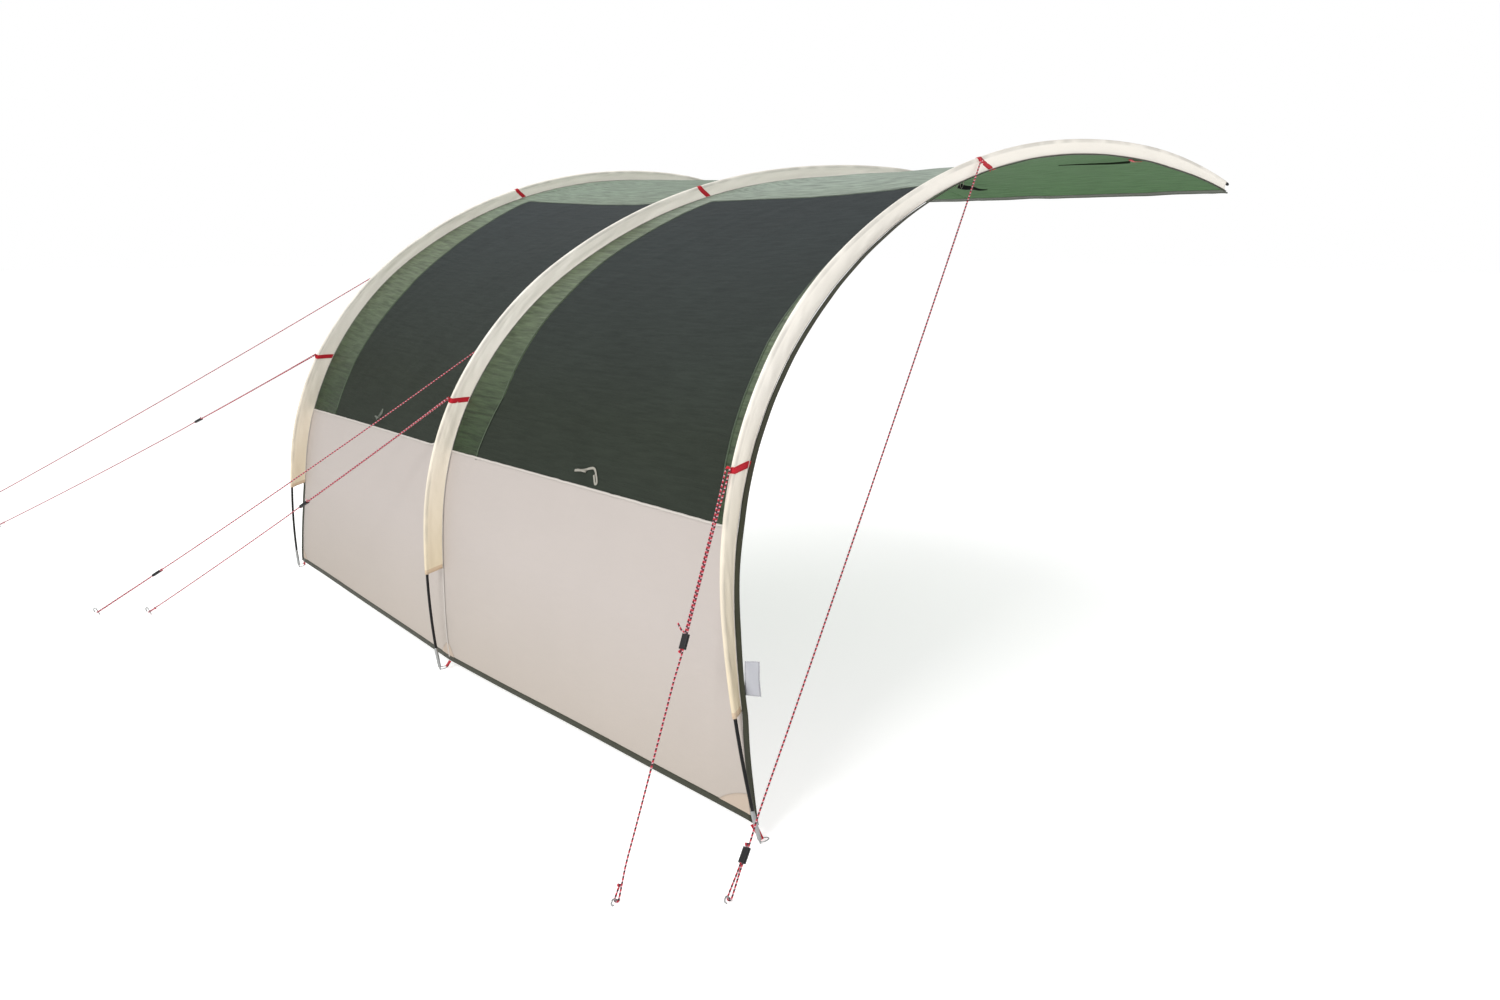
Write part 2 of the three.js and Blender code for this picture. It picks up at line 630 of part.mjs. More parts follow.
function guyCord(guy, frame) {
  const L = frame.length;
  const runner = guy.runner;
  const end = runner + RUNNER[2] / 2 + 8;
  if (guy.doubled === "strap") {
    const widths = [STRAND_WIDE, STRAND_CLOSE, STRAND_CLOSE, 0];
    const strand = (d) => tableAt([0, 0.4 * runner, runner + 40, runner + 110], widths, d);
    const back = spread(end, 0, 6).map((d) => onGuy(frame, d, strand(d)));
    const run = [0, 0.2 * runner, 0.4 * runner, 0.75 * runner, runner, runner + 40, runner + 110];
    const down = run.map((d) => onGuy(frame, d, -strand(d)));
    const low = spread(runner + 110, L - 90, 5).slice(1).map((d) => onGuy(frame, d, 0));
    const eye = [
      onGuy(frame, L - 45, -STRAND_CLOSE),
      onGuy(frame, L, -STRAND_WIDE),
      ...bendPoints(frame, L, 1),
      onGuy(frame, L, STRAND_WIDE),
      onGuy(frame, L - 38, STRAND_CLOSE),
    ];
    return [...back, ...bendPoints(frame, 0, -1), ...down, ...low, ...eye];
  }
  const widths = [0, STRAND_CLOSE, STRAND_CLOSE, STRAND_WIDE];
  const strand = (d) => tableAt([runner - 110, runner - 40, runner + 40, L], widths, d);
  const high = spread(0, runner - 110, 9).map((d) => onGuy(frame, d, 0));
  if (guy.leaves) {
    const beside = stations(guy.leaves, guy.arch.straps[guy.strap] - 15).slice(1).reverse();
    high.unshift(...beside.map((s) => onArch(guy.arch, s, depthAt(guy.arch, s) - 6, 8)));
  }
  const down = [runner - 40, runner, runner + 40, L].map((d) => onGuy(frame, d, -strand(d)));
  const back = [L, runner + 40, runner, runner - RUNNER[2] / 2 - 8].map((d) => onGuy(frame, d, strand(d)));
  return [...high, ...down, ...bendPoints(frame, L, 1), ...back];
}

// A flat runner with one slot that both strands pass through.
function runnerSolid(guy, frame) {
  const [width, thick, long] = RUNNER;
  const body = new THREE.Shape();
  const corner = 4;
  body.moveTo(-width / 2 + corner, -thick / 2);
  body.lineTo(width / 2 - corner, -thick / 2);
  body.absarc(width / 2 - corner, -thick / 2 + corner, corner, -Math.PI / 2, 0, false);
  body.absarc(width / 2 - corner, thick / 2 - corner, corner, 0, Math.PI / 2, false);
  body.absarc(-width / 2 + corner, thick / 2 - corner, corner, Math.PI / 2, Math.PI, false);
  body.absarc(-width / 2 + corner, -thick / 2 + corner, corner, Math.PI, (3 * Math.PI) / 2, false);
  const slot = new THREE.Path();
  const [w, h] = RUNNER_SLOT.map((v) => v / 2);
  slot.moveTo(-w, -h);
  slot.lineTo(-w, h);
  slot.lineTo(w, h);
  slot.lineTo(w, -h);
  slot.closePath();
  body.holes.push(slot);
  const solid = new THREE.ExtrudeGeometry(body, { depth: long, bevelEnabled: false, curveSegments: 3 });
  const here = onGuy(frame, guy.runner, 0);
  const along = onGuy(frame, guy.runner + 5, 0).sub(onGuy(frame, guy.runner - 5, 0)).normalize();
  const basis = new THREE.Matrix4().makeBasis(frame.side, along.clone().cross(frame.side), along);
  return solid.translate(0, 0, -long / 2).applyMatrix4(basis.setPosition(here));
}

// A wire peg: a straight shaft into the ground and a hook turned away from the awning.
function pegSolid(frame) {
  const away = frame.toPeg.clone();
  const up = frame.pegUp;
  const at = (height, out) => frame.foot.clone().addScaledVector(up, height).addScaledVector(away, out);
  const hook = [150, 120, 90, 60, 30, 0].map((degrees) => {
    const turn = THREE.MathUtils.degToRad(degrees);
    return at(PEG_TOP + PEG_HOOK * Math.sin(turn), PEG_HOOK + PEG_HOOK * Math.cos(turn));
  });
  const shaft = [at(PEG_TOP - PEG_LENGTH, 0), at(0, 0), at(PEG_TOP, 0)];
  const line = [...shaft, ...hook, at(PEG_TOP - 9, 2 * PEG_HOOK)];
  return roundBar(line, PEG_RADIUS, 8);
}

function addGuy(guy) {
  const frame = guyFrame(guy);
  const name = `${guy.arch.name}_${guy.level}`;
  addStrap(guy.arch, guy.arch.straps[guy.strap], guy.level);
  add(`guy_${name}`, roundBar(guyCord(guy, frame), CORD_RADIUS, 8), cloth(RED));
  add(`runner_${name}`, runnerSolid(guy, frame), BLACK_PLASTIC);
  add(`peg_${name}`, pegSolid(frame), STEEL);
}

// ---------------------------------------------------------------- assembly
ARCHES.forEach((arch) => {
  addPole(arch);
  addFoot(arch);
  addSleeve(arch);
});
BAYS.forEach((bay) => {
  addBay(bay);
  addToggle(bay);
});
addGroundHem();
addEdge(REAR, EDGE);
addEdge(FRONT, -EDGE);
addVehicleEdge();
addCareLabel();
GUYS.forEach(addGuy);

export default root;
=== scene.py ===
# Three-arch tunnel awning: beige ground wall, green canopy with two dark windows, cream pole sleeves,
# ring-and-pin feet and red guy lines. Metres, +Z up, origin on the ground under the middle arch.
import math

import bpy
from mathutils import Matrix, Vector, noise


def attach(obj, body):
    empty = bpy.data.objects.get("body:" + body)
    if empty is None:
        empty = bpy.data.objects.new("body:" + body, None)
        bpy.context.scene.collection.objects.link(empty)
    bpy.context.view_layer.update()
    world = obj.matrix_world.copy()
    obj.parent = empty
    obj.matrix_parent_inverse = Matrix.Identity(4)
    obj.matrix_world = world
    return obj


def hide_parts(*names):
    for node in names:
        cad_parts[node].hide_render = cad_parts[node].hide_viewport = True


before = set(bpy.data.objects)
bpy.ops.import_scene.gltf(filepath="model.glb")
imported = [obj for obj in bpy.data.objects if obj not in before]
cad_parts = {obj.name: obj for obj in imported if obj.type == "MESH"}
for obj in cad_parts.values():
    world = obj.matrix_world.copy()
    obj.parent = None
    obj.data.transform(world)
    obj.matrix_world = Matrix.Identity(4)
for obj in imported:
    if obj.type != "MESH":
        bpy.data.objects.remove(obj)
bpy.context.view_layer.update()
MAIN = "awning"

# ------------------------------------------------------------------ camera
CAMERA_AT = Vector((-2.109, -4.777, 1.750))
CAMERA_YAW = math.radians(37.75)
CAMERA_PITCH = math.radians(-11.59)
CAMERA_ROLL = math.radians(0.18)
LENS = 31.375


def add_camera():
    forward = Vector((math.sin(CAMERA_YAW) * math.cos(CAMERA_PITCH),
                      math.cos(CAMERA_YAW) * math.cos(CAMERA_PITCH), math.sin(CAMERA_PITCH)))
    right = Vector((math.cos(CAMERA_YAW), -math.sin(CAMERA_YAW), 0))
    up = right.cross(forward)
    across = right * math.cos(CAMERA_ROLL) + up * math.sin(CAMERA_ROLL)
    up = across.cross(forward)
    data = bpy.data.cameras.new("camera")
    data.sensor_width = 36
    data.lens = LENS
    data.clip_end = 200
    camera = bpy.data.objects.new("camera", data)
    turn = Matrix((across, up, -forward)).transposed().to_4x4()
    camera.matrix_world = Matrix.Translation(CAMERA_AT) @ turn
    bpy.context.scene.collection.objects.link(camera)
    bpy.context.scene.camera = camera


add_camera()

# ------------------------------------------------------------------ arch geometry
ARCH_LENGTH = 4.391
ARCH_PIECES = 420
ARCH_SLOPES = (98.4, 86.2, 57.6, 33.7, 19.2, 6.4, -4.2, -21.0)
REAR = dict(name="rear", foot=(0.117, 2.003), width=1, height=0.997, lean=-0.146, swing=0.1,
            hem=0.022, sleeve=0.450, straps=(1.147, 2.622), seam=0.880,
            depths=(0.026, 0.070, 0.076, 0.080, 0.062, 0.050, 0.046, 0.046, 0.040))
MIDDLE = dict(name="middle", foot=(0, 0), width=1.0143, height=0.9764, lean=0.029, swing=-0.02,
              hem=0.028, sleeve=0.417, straps=(1.139, 2.657), seam=0.945,
              depths=(0.046, 0.068, 0.072, 0.068, 0.060, 0.050, 0.048, 0.046, 0.040))
FRONT = dict(name="front", foot=(0.083, -2.002), width=1, height=1, lean=0.229, swing=0.038,
             hem=0.040, sleeve=0.370, straps=(1.078, 2.725), seam=0.915,
             depths=(0.016, 0.026, 0.040, 0.049, 0.060, 0.046, 0.048, 0.056, 0.034))
ARCHES = (REAR, MIDDLE, FRONT)
DEPTH_AT = (0, 0.380, 0.700, 1.000, 1.700, 2.500, 3.300, 4.000, ARCH_LENGTH)
POLE_RADIUS = 0.0055
SLEEVE_RADIUS = 0.0076
SLEEVE_TOP = 4.361
WINDOW_TOP = 2.600
ROOF_END = 4.362
SAG_AT = (0, 0.900, 1.800, 2.600, 4.362)
BAY_SAG = (0, 0.030, 0.030, 0.014, 0)
LIFT_AT = (3.100, 3.400, 3.700, 4.000, ARCH_LENGTH)
LIFT = (0, 0.003, 0.011, 0.023, 0.041)
EDGE = 0.027
EDGE_TURNED = 0.009
DRAWN_FROM = 3 * ARCH_LENGTH / 35
DRAWN_SLOPE = 0.13
HEM_HEIGHT = 0.024
CLOTH = 0.0012


def lerp(a, b, share):
    return a + (b - a) * share


def angles(*degrees):
    return [math.radians(d) for d in degrees]


def clamp(x, low=0.0, high=1.0):
    return max(low, min(high, x))


def smooth(low, high, x):
    x = clamp((x - low) / (high - low))
    return x * x * (3 - 2 * x)


def table(keys, values, at):
    i = 0
    while i < len(keys) - 2 and at > keys[i + 1]:
        i += 1
    return lerp(values[i], values[i + 1], clamp((at - keys[i]) / (keys[i + 1] - keys[i])))


SLOPE_KEYS = [i * ARCH_LENGTH / (len(ARCH_SLOPES) - 1) for i in range(len(ARCH_SLOPES))]


def slope_at(s):
    return math.radians(table(SLOPE_KEYS, ARCH_SLOPES, s))


def bend_pole():
    step = ARCH_LENGTH / ARCH_PIECES
    points = [(0.0, 0.0)]
    for i in range(ARCH_PIECES):
        slope = slope_at((i + 0.5) * step)
        points.append((points[-1][0] + step * math.cos(slope), points[-1][1] + step * math.sin(slope)))
    return points


BENT = bend_pole()


def on_arch(arch, s, depth=0.0, shift=0.0):
    """A point of an arch: s along the pole, depth inward from its axis, shift along Y."""
    at = s / ARCH_LENGTH * ARCH_PIECES
    i = int(clamp(math.floor(at), 0, ARCH_PIECES - 1))
    slope = slope_at(s)
    x = (lerp(BENT[i][0], BENT[i + 1][0], at - i) + depth * math.sin(slope)) * arch["width"]
    z = (lerp(BENT[i][1], BENT[i + 1][1], at - i) - depth * math.cos(slope)) * arch["height"]
    if arch is MIDDLE:
        z += table(LIFT_AT, LIFT, s)
    return Vector((arch["foot"][0] + x, arch["foot"][1] + arch["lean"] * z + arch["swing"] * x + shift, z))


def arch_frame(arch, s):
    """Unit directions at a point of an arch: along the pole, inward, and out of its plane (+Y side)."""
    along = (on_arch(arch, s + 0.004) - on_arch(arch, s - 0.004)).normalized()
    side = (on_arch(arch, s, 0.01) - on_arch(arch, s, -0.01)).cross(along).normalized()
    return along, along.cross(side).normalized(), side


def drawn_at(arch, s):
    """How far the cloth's edge is drawn back from the front pole, below its sleeve."""
    return max(0.0, DRAWN_FROM - s) * DRAWN_SLOPE if arch is FRONT else 0.0


def depth_at(arch, s):
    """Depth of the canopy below the pole's axis."""
    a = table(DEPTH_AT, arch["depths"], s - 0.06)
    b = table(DEPTH_AT, arch["depths"], s + 0.06)
    return (a + b) / 2


# ------------------------------------------------------------------ bays
REAR_BAY = dict(name="rear_bay", start=REAR, end=MIDDLE, seed=3.0, toggle=(0.960, 0.47), width=1.81,
                left=((0.9, 1.7, 2.15, 2.55), (0.168, 0.176, 0.147, 0.100)),
                right=((0.9, 1.7, 2.55), (0.885, 0.885, 0.900)))
FRONT_BAY = dict(name="front_bay", start=MIDDLE, end=FRONT, seed=11.0, toggle=(0.985, 0.50), width=1.62,
                 left=((0.96, 1.2, 1.56, 2.0, 2.55), (0.106, 0.130, 0.108, 0.088, 0.093)),
                 right=((0.99, 1.09, 1.6, 2.55), (0.940, 0.934, 0.915, 0.914)))
BAYS = (REAR_BAY, FRONT_BAY)


def crease(bay, s, t):
    """How far the cloth's wrinkles press it inward, in metres."""
    seed = bay["seed"]
    across = 2.0 * t
    edge = min(across, 2.0 - across)
    d = 0.004 * noise.noise(Vector((across * 1.3, s * 1.1, seed)))
    low = smooth(0.0, 0.15, s)
    # tension folds that run diagonally over the windows
    q, r = across * 0.55 + s * 0.83, s * 0.55 - across * 0.83
    window = smooth(0.9, 1.2, s) * (1 - smooth(2.45, 2.75, s))
    d += 0.0030 * window * noise.noise(Vector((q * 0.9, r * 6.0, seed + 5)))
    d += 0.0012 * window * noise.noise(Vector((q * 2.5, r * 17.0, seed + 9)))
    # puckers where the cloth is sewn to the arches
    near = math.exp(-edge / 0.11) * smooth(0.75, 1.0, s)
    d += 0.0026 * near * noise.noise(Vector((s * 21 + edge * 16, edge * 7, seed + 2)))
    # folds that fan out over the roof from the window's top corners
    if s > 2.3:
        for side, reach in ((0, across), (1, 2.0 - across)):
            high = s - 2.50
            angle = math.atan2(high, reach + 0.02)
            far = math.hypot(high, reach)
            fan = noise.noise(Vector((angle * 7.5, far * 0.7, seed + 20 + side)))
            d += 0.0085 * fan * smooth(0.05, 0.5, far) * math.exp(-far / 1.6) * smooth(2.45, 2.8, s)
        d += 0.003 * smooth(2.6, 3.2, s) * noise.noise(Vector((across * 4.5, s * 0.9, seed + 31)))
    # short wrinkles under the wall's top seam and long shallow ones lower down
    top = seam_at(bay, t)
    if s < top + 0.02:
        below = top - s
        gather = math.exp(-max(0, below) / 0.09) * (0.35 + 0.65 * math.exp(-edge / 0.35))
        d += 0.0030 * gather * noise.noise(Vector((across * 24 + below * 14, below * 5, seed + 40)))
        d += 0.0022 * low * noise.noise(Vector((across * 2.2 + s * 1.5, s * 5.5 - across * 1.2, seed + 44)))
    return d


def seam_at(bay, t):
    """Height of the wall's top seam along the arches, with the small slack bulges it has near an arch."""
    s = lerp(bay["start"]["seam"], bay["end"]["seam"], t)
    if bay is REAR_BAY:
        s += 0.016 * math.exp(-((t - 0.90) / 0.022) ** 2) + 0.007 * math.exp(-((t - 0.955) / 0.012) ** 2)
    return s + 0.0015 * noise.noise(Vector((t * 40, bay["seed"], 0)))


def on_bay(bay, s, t, depth=0.0):
    """A point of a bay's cloth: s along the arches, t across from the rear arch, depth below its face."""
    start, end = bay["start"], bay["end"]
    a = on_arch(start, s, depth_at(start, s) + depth, -0.0006)
    b = on_arch(end, s, depth_at(end, s) + depth, 0.0006 + drawn_at(end, s))
    inward = arch_frame(start, s)[1]
    sag = table(SAG_AT, BAY_SAG, s) * 4 * t * (1 - t)
    hold = min(1.0, t / 0.012, (1 - t) / 0.012)
    return a.lerp(b, t) + inward * (sag + crease(bay, s, t) * max(0, hold))


# ------------------------------------------------------------------ mesh building
def link(name, mesh, material, body=MAIN, stands_for=None):
    """Puts a mesh in the scene as a piece that rides on a body, in place of a CAD node if one is given."""
    mesh.name = name
    piece = bpy.data.objects.new(name, mesh)
    bpy.context.scene.collection.objects.link(piece)
    for m in material if isinstance(material, (list, tuple)) else [material]:
        mesh.materials.append(m)
    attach(piece, body)
    if stands_for:
        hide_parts(stands_for)
    return piece


def make_mesh(points, faces, uvs):
    """A smooth mesh whose UVs, one pair per face corner, are in metres."""
    mesh = bpy.data.meshes.new("mesh")
    mesh.from_pydata([tuple(p) for p in points], [], faces)
    layer = mesh.uv_layers.new(name="metres")
    layer.data.foreach_set("uv", [x for pair in uvs for x in pair])
    mesh.polygons.foreach_set("use_smooth", [True] * len(mesh.polygons))
    mesh.update()
    return mesh


def grid_mesh(rows, columns, place, keep=None):
    """A sheet over a grid; place(r, c) gives (point, u, v) and keep(r, c) says which cells are cloth."""
    index, points, spots, faces, uvs = {}, [], [], [], []

    def corner(i, j):
        if (i, j) not in index:
            index[i, j] = len(points)
            point, u, v = place(rows[i], columns[j])
            points.append(point)
            spots.append((u, v))
        return index[i, j]

    for i in range(len(rows) - 1):
        for j in range(len(columns) - 1):
            middle = ((rows[i] + rows[i + 1]) / 2, (columns[j] + columns[j + 1]) / 2)
            if keep and not keep(*middle):
                continue
            face = (corner(i, j), corner(i + 1, j), corner(i + 1, j + 1), corner(i, j + 1))
            faces.append(face)
            uvs += [spots[k] for k in face]
    return make_mesh(points, faces, uvs)


def solidify(piece, thickness, offset=-1.0, inner_slot=0):
    """Gives a sheet its thickness; the side away from its normals takes a later material slot."""
    m = piece.modifiers.new("thickness", "SOLIDIFY")
    m.thickness = thickness
    m.offset = offset
    m.material_offset = inner_slot
    m.use_even_offset = False


def spread(low, high, step):
    count = max(1, round((high - low) / step))
    return [lerp(low, high, i / count) for i in range(count + 1)]


def frames_along(points, closed=False):
    """Directions, and normals carried along the path without twist."""
    n = len(points)
    ways = []
    for i in range(n):
        a = points[i - 1] if i > 0 or closed else points[i]
        b = points[(i + 1) % n] if i + 1 < n or closed else points[i]
        ways.append((b - a).normalized())
    seed = Vector((0, 0, 1)) if abs(ways[0].z) < 0.9 else Vector((1, 0, 0))
    normal = (seed - ways[0] * seed.dot(ways[0])).normalized()
    normals = [normal]
    for i in range(1, n):
        normal = normals[-1] - ways[i] * normals[-1].dot(ways[i])
        normals.append(normal.normalized())
    return ways, normals


def lengths_along(points, closed=False):
    total = [0.0]
    for a, b in zip(points, points[1:] + (points[:1] if closed else [])):
        total.append(total[-1] + (b - a).length)
    return total


def skin(rings, lengths, spots, closed=False):
    """A mesh over equal rings of points; spots are each ring's places across, for its UVs."""
    n, k = len(rings), len(rings[0])
    faces, uvs = [], []
    for i in range(n if closed else n - 1):
        here, there = i * k, (i + 1) % n * k
        for j in range(k):
            m = (j + 1) % k
            faces.append((here + j, here + m, there + m, there + j))
            v0, v1 = spots[i][j], spots[i][j + 1]
            uvs += [(lengths[i], v0), (lengths[i], v1), (lengths[i + 1], v1), (lengths[i + 1], v0)]
    if not closed:
        faces += [tuple(reversed(range(k))), tuple(range((n - 1) * k, n * k))]
        uvs += [(0, 0)] * k + [(lengths[-1], 0)] * k
    return make_mesh([p for ring in rings for p in ring], faces, uvs)


def per_point(value, count):
    return list(value) if hasattr(value, "__len__") else [value] * count


def tube_mesh(points, radius, sides=10, closed=False):
    """A round tube along a path; radius is a number or one number per point. Ends are closed domes."""
    points = [Vector(p) for p in points]
    radii = per_point(radius, len(points))
    if not closed:
        ways, _ = frames_along(points)
        first, last = radii[0], radii[-1]
        points = [points[0] - ways[0] * first * 0.35] + points + [points[-1] + ways[-1] * last * 0.35]
        radii = [first * 0.55] + radii + [last * 0.55]
    ways, normals = frames_along(points, closed)
    turns = [2 * math.pi * k / sides for k in range(sides)]
    rings = [[p + (normal * math.cos(a) + way.cross(normal) * math.sin(a)) * r for a in turns]
             for p, way, normal, r in zip(points, ways, normals, radii)]
    around = [k / sides for k in range(sides + 1)]
    return skin(rings, lengths_along(points, closed), [around] * len(points), closed)


# A ribbon's section: places across its width and its thickness.
RIBBON = [(-0.5, 0), (-0.47, 0.42), (-0.36, 0.5), (0, 0.5), (0.36, 0.5), (0.47, 0.42),
          (0.5, 0), (0.47, -0.42), (0.36, -0.5), (0, -0.5), (-0.36, -0.5), (-0.47, -0.42)]


def ribbon_mesh(points, across, width, thickness):
    """Flat webbing with rounded edges along a path; across and width are one value or one per point."""
    points = [Vector(p) for p in points]
    sides = across if isinstance(across, list) else [across] * len(points)
    widths = per_point(width, len(points))
    ways, _ = frames_along(points)
    rings = []
    for p, way, side, w in zip(points, ways, sides, widths):
        side = (side - way * side.dot(way)).normalized()
        up = way.cross(side)
        rings.append([p + side * a * w + up * b * thickness for a, b in RIBBON])
    spots = [[a * w for a, _ in RIBBON + RIBBON[:1]] for w in widths]
    return skin(rings, lengths_along(points), spots)


def rounded(points, step=0.004):
    """A smooth path through the given points (centripetal Catmull-Rom)."""
    points = [Vector(p) for p in points]
    ends = [points[0] * 2 - points[1]] + points + [points[-1] * 2 - points[-2]]
    path = []
    for i in range(1, len(ends) - 2):
        p0, p1, p2, p3 = ends[i - 1:i + 3]
        k0, k1, k2 = ((p1 - p0).length ** 0.5, (p2 - p1).length ** 0.5, (p3 - p2).length ** 0.5)
        m1 = (p2 - p1) + k1 * ((p1 - p0) / k0 - (p2 - p0) / (k0 + k1))
        m2 = (p2 - p1) + k1 * ((p3 - p2) / k2 - (p3 - p1) / (k1 + k2))
        count = max(1, math.ceil((p2 - p1).length / step))
        for j in range(count):
            t = j / count
            path.append(p1 * (2 * t**3 - 3 * t**2 + 1) + m1 * (t**3 - 2 * t**2 + t)
                        + p2 * (3 * t**2 - 2 * t**3) + m2 * (t**3 - t**2))
    path.append(points[-1])
    return path


# ------------------------------------------------------------------ materials
STUDIO_SHARE = 0.74


def srgb(r, g, b):
    """A colour as it looks in the studio, whose light is a little brighter than one."""
    def linear(c):
        c /= 255
        return STUDIO_SHARE * (c / 12.92 if c <= 0.04045 else ((c + 0.055) / 1.055) ** 2.4)
    return (linear(r), linear(g), linear(b), 1)


def wire(tree, n, inputs):
    """Gives a node its inputs: links for sockets, plain settings for other values."""
    for key, value in inputs.items():
        if isinstance(value, bpy.types.NodeSocket):
            tree.links.new(value, n.inputs[key])
        else:
            n.inputs[key].default_value = value


def node(tree, kind, inputs=None, **settings):
    n = tree.nodes.new("ShaderNode" + kind)
    for key, value in settings.items():
        setattr(n, key, value)
    wire(tree, n, inputs or {})
    return n


def calc(tree, operation, *values):
    return node(tree, "Math", dict(enumerate(values)), operation=operation).outputs[0]


def blend(tree, factor, a, b, mode="MIX"):
    return node(tree, "Mix", {0: factor, 6: a, 7: b}, data_type="RGBA", blend_type=mode).outputs[2]


def shaded(tree, base, value):
    """The colour made darker or brighter by a value."""
    grey = node(tree, "CombineColor", {0: value, 1: value, 2: value}).outputs[0]
    return blend(tree, 1.0, base, grey, "MULTIPLY")


def ramp(tree, value, low, high, a=0.0, b=1.0):
    inputs = {"Value": value, "From Min": low, "From Max": high, "To Min": a, "To Max": b}
    return node(tree, "MapRange", inputs, clamp=True).outputs[0]


def new_material(name):
    material = bpy.data.materials.new(name)
    material.use_nodes = True
    tree = material.node_tree
    shader = next(n for n in tree.nodes if n.type == "BSDF_PRINCIPLED")
    return material, tree, shader


def metres(tree):
    """The piece's own cloth coordinates: along and across, in metres."""
    uv = node(tree, "UVMap", uv_map="metres").outputs[0]
    parts = node(tree, "SeparateXYZ", {0: uv})
    return uv, parts.outputs[0], parts.outputs[1]


def threads(tree, uv, pitch):
    """A plain weave: two sets of round threads that cross over and under."""
    inputs = {"Vector": uv, "Scale": 0.314 / pitch}
    x, y = (node(tree, "TexWave", inputs, bands_direction=way, wave_profile="SIN") for way in "XY")
    return calc(tree, "MAXIMUM", x.outputs[1], y.outputs[1])


def noise_at(tree, vector, scale, detail=3.0, rough=0.55):
    inputs = {"Vector": vector, "Scale": scale, "Detail": detail, "Roughness": rough}
    return node(tree, "TexNoise", inputs).outputs[0]


def stretched(tree, vector, x, y, turn=0.0):
    inputs = {"Vector": vector, "Rotation": (0, 0, turn), "Scale": (x, y, 1)}
    return node(tree, "Mapping", inputs).outputs[0]


def fabric(name, colour, pitch=0.0011, rough=0.75, sheen=0.15, weave=0.10, folds=0.5, vary=0.07,
           tint=None, coat=0.0, stitches=None, gloss_level=0.2, crease_shade=0.0):
    """Woven cloth. tint may recolour it by place and height; stitches are the places of sewing across."""
    material, tree, shader = new_material(name)
    uv, along, across = metres(tree)
    place = node(tree, "NewGeometry").outputs["Position"]
    height = node(tree, "SeparateXYZ", {0: place}).outputs[2]
    base = node(tree, "RGB").outputs[0]
    base.default_value = colour
    if tint:
        base = tint(tree, base, along, across, height)
    patchy = noise_at(tree, place, 2.6, 4.0)
    slub = noise_at(tree, stretched(tree, uv, 900, 60), 1.0, 2.0)
    tone_and_weave_shade = calc(tree, "MULTIPLY_ADD", patchy, 2 * vary, 1 - vary)
    tone_and_weave_shade = calc(tree, "MULTIPLY", tone_and_weave_shade, calc(tree, "MULTIPLY_ADD", slub, vary, 1 - vary / 2))
    weft = threads(tree, uv, pitch)
    # Painted shade: darker in the hollows between the threads; the noises above are the cloth's own uneven
    # tone.
    tone_and_weave_shade = calc(tree, "MULTIPLY", tone_and_weave_shade, calc(tree, "MULTIPLY_ADD", weft, 0.10, 0.93))
    base = shaded(tree, base, tone_and_weave_shade)
    long_folds = noise_at(tree, stretched(tree, uv, 2.0, 9.0, 0.5), 1.6, 3.0, 0.5)
    small_folds = noise_at(tree, stretched(tree, uv, 10, 22, -0.4), 1.6, 2.0)
    relief = calc(tree, "MULTIPLY_ADD", small_folds, 0.25, long_folds)
    if crease_shade:
        pulled = pucker(tree, uv)
        relief = calc(tree, "MULTIPLY_ADD", pulled, 0.5, relief)
        # Painted shade in the creases' hollows and painted highlight on their ridges.
        base = shaded(tree, base, calc(tree, "MULTIPLY_ADD", pulled, crease_shade, 1 - crease_shade * 0.55))
    if stitches:
        dash, line = sewing(tree, along, across, stitches)
        base = blend(tree, calc(tree, "MULTIPLY", line, 0.35), base, srgb(40, 38, 32))
        relief = calc(tree, "SUBTRACT", relief, calc(tree, "MULTIPLY", line, 0.12))
        relief = calc(tree, "ADD", relief, calc(tree, "MULTIPLY", dash, 0.2))
    rumple = node(tree, "Bump", {"Strength": folds, "Distance": 0.004, "Height": relief})
    fine = {"Strength": weave, "Distance": 0.0006, "Height": weft, "Normal": rumple.outputs[0]}
    grain = node(tree, "Bump", fine)
    wire(tree, shader, {"Base Color": base, "Normal": grain.outputs[0],
                        "Roughness": calc(tree, "MULTIPLY_ADD", patchy, 0.12, rough - 0.06),
                        "Sheen Weight": sheen, "Sheen Roughness": 0.4, "Specular IOR Level": gloss_level,
                        "Coat Weight": coat, "Coat Roughness": 0.45})
    return material


def pucker(tree, uv):
    """Fine creases where taut cloth is drawn along a slant, from dark to bright; they shape the bump, and are
    painted into the colour as shade and highlight.
    """
    slant = noise_at(tree, stretched(tree, uv, 7, 75, 0.62), 1.0, 3.0, 0.6)
    other = noise_at(tree, stretched(tree, uv, 4, 42, -0.35), 1.0, 2.0, 0.5)
    return ramp(tree, calc(tree, "MULTIPLY_ADD", other, 0.6, slant), 0.58, 1.02)


STITCH_PITCH = 0.0045
STITCH_HALF_WIDTH = 0.0008


def sewing(tree, along, across, lines):
    """Masks of the stitches and of the needle lines that they lie in, at the given places across."""
    pace = calc(tree, "FRACT", calc(tree, "MULTIPLY", along, 1 / STITCH_PITCH))
    dash = calc(tree, "GREATER_THAN", pace, 0.3)
    total = None
    for at in lines:
        off = calc(tree, "ABSOLUTE", calc(tree, "SUBTRACT", across, at))
        mask = calc(tree, "LESS_THAN", off, STITCH_HALF_WIDTH)
        total = mask if total is None else calc(tree, "MAXIMUM", total, mask)
    return calc(tree, "MULTIPLY", total, dash), total


